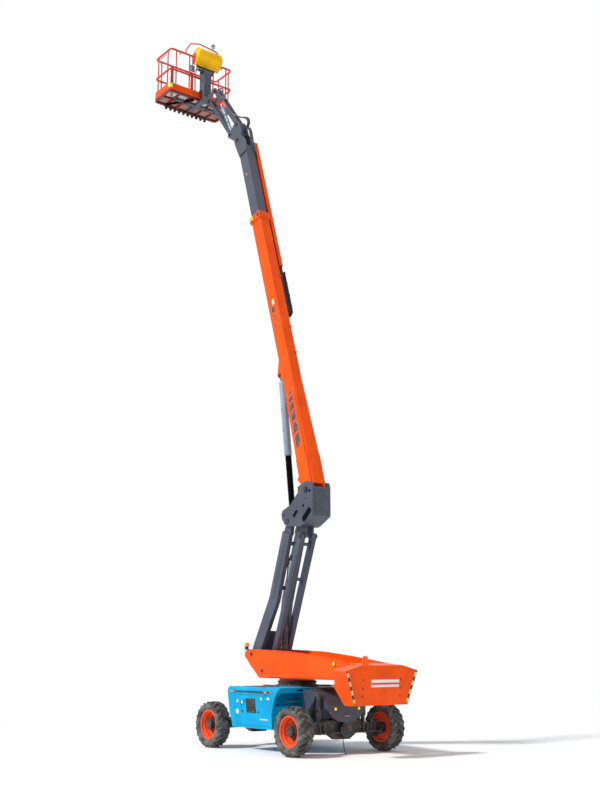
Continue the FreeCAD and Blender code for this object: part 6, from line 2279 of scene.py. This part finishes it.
@dataclass(frozen=True)
class Studio:
    """Camera, lights, backdrop and floor of the main view."""

    place: tuple[float, float, float] = (-18.02, 12.92, 1.76)
    heading: float = -37.49
    pitch: float = 13.045
    lens: float = 48.99
    sensor: float = 36.0
    floor_near: float = 5.0
    floor_far: float = 11.0

    def camera(self) -> None:
        """Sets the camera."""
        data = bpy.data.cameras.new("main_view")
        data.lens = self.lens
        data.sensor_width = self.sensor
        data.sensor_fit = "AUTO"
        data.clip_end = 200
        obj = bpy.data.objects.new("main_view", data)
        aim = Vector((
            math.cos(math.radians(self.pitch)) * math.cos(math.radians(self.heading)),
            math.cos(math.radians(self.pitch)) * math.sin(math.radians(self.heading)),
            math.sin(math.radians(self.pitch)),
        ))
        facing = aim.to_track_quat("-Z", "Y").to_matrix().to_4x4()
        obj.matrix_world = Matrix.Translation(Vector(self.place)) @ facing
        bpy.context.scene.collection.objects.link(obj)
        bpy.context.scene.camera = obj

    def sky(self) -> None:
        """A white backdrop to the camera and in reflections, and a softer light from all round."""
        world = bpy.data.worlds.new("white_room")
        bpy.context.scene.world = world
        world.use_nodes = True
        nodes, links = world.node_tree.nodes, world.node_tree.links
        nodes.clear()
        rays = nodes.new("ShaderNodeLightPath")
        seen = rays.outputs["Is Camera Ray"]
        for kind in ("Is Transmission Ray", "Is Glossy Ray"):
            either = nodes.new("ShaderNodeMath")
            either.operation = "MAXIMUM"
            links.new(seen, either.inputs[0])
            links.new(rays.outputs[kind], either.inputs[1])
            seen = either.outputs[0]
        dim, bright = nodes.new("ShaderNodeBackground"), nodes.new("ShaderNodeBackground")
        dim.inputs["Color"].default_value = (0.95, 0.97, 1.0, 1.0)
        dim.inputs["Strength"].default_value = 0.42
        bright.inputs["Color"].default_value = (1.0, 1.0, 1.0, 1.0)
        mixed, out = nodes.new("ShaderNodeMixShader"), nodes.new("ShaderNodeOutputWorld")
        links.new(seen, mixed.inputs["Fac"])
        links.new(dim.outputs[0], mixed.inputs[1])
        links.new(bright.outputs[0], mixed.inputs[2])
        links.new(mixed.outputs[0], out.inputs["Surface"])

    def lamps(self) -> None:
        """A broad soft sun from over the camera's left shoulder and a weak one from the right."""
        for name, direction, strength, spread in (
            ("key", (-0.22, -0.95, -1.0), 3.15, 8.0), ("fill", (1.0, -0.25, -0.45), 0.5, 60.0),
        ):
            data = bpy.data.lights.new(name, "SUN")
            data.energy = strength
            data.angle = math.radians(spread)
            obj = bpy.data.objects.new(name, data)
            obj.rotation_euler = Vector(direction).to_track_quat("-Z", "Y").to_euler()
            bpy.context.scene.collection.objects.link(obj)

    def floor(self) -> None:
        """A white floor that takes the shadows near the machine and fades into the backdrop."""
        Bench.clear()
        bpy.ops.mesh.primitive_circle_add(vertices=96, radius=60.0, fill_type="NGON", location=ORIGIN)
        obj = bpy.context.object
        obj.name = obj.data.name = "floor"
        graph = Graph("floor_white")
        split = graph.parts(move=(-Chassis.slew_x, 0, 0))
        reach = graph.math("SQRT", split[0] * split[0] + split[1] * split[1])
        speck = graph.noise(3.0, 2.0)
        graph.feed(Base_Color=graph.blend(speck * 0.02, (0.9, 0.9, 0.9), (0.86, 0.86, 0.86)), Roughness=0.75)
        rays = graph.node("ShaderNodeLightPath")
        glow = graph.node("ShaderNodeEmission", values={"Color": (1.0, 1.0, 1.0, 1.0), "Strength": 1.0})
        mixed = graph.node("ShaderNodeMixShader")
        seen = Sock(graph, rays.outputs["Is Camera Ray"])
        for kind in ("Is Glossy Ray", "Is Transmission Ray"):
            seen = graph.math("MAXIMUM", seen, Sock(graph, rays.outputs[kind]))
        fade = reach.ramp(self.floor_near, self.floor_far) * seen
        graph.tree.links.new(fade.link, mixed.inputs["Fac"])
        graph.tree.links.new(graph.shader.outputs[0], mixed.inputs[1])
        graph.tree.links.new(glow.outputs[0], mixed.inputs[2])
        graph.tree.links.new(mixed.outputs[0], graph.tree.nodes["Material Output"].inputs["Surface"])
        obj.data.materials.append(graph.material)

    def build(self) -> None:
        """Sets the whole studio."""
        self.camera()
        self.sky()
        self.lamps()
        self.floor()
        bpy.context.scene.view_settings.view_transform = "Standard"


def main() -> None:
    """Dresses the machine and sets the studio."""
    logging.basicConfig(level=logging.INFO, format="%(name)s %(message)s")
    assemblies: list[Assembly] = [Wheel(end=end, side=side) for end in End for side in Side]
    assemblies += [Chassis(), Turntable(), Riser(), Boom(), Head(), Platform()]
    assemblies += [
        Ram(name="riser", length=1.18, radius=0.062),
        Ram(name="boom", length=1.713, radius=0.06, pipe_turn=0.0),
        Ram(name="level", length=0.56, radius=0.034, pipe_turn=90.0),
        Ram(name="jib", length=1.08, radius=0.038, pipe_turn=-90.0),
    ]
    for assembly in assemblies:
        assembly.build()
        assembly.report()
        if isinstance(assembly, Ram) and assembly.name == "boom":
            assembly.gaiter(0.076, 0.114)
    Studio().build()


if __name__ == "__main__":
    main()
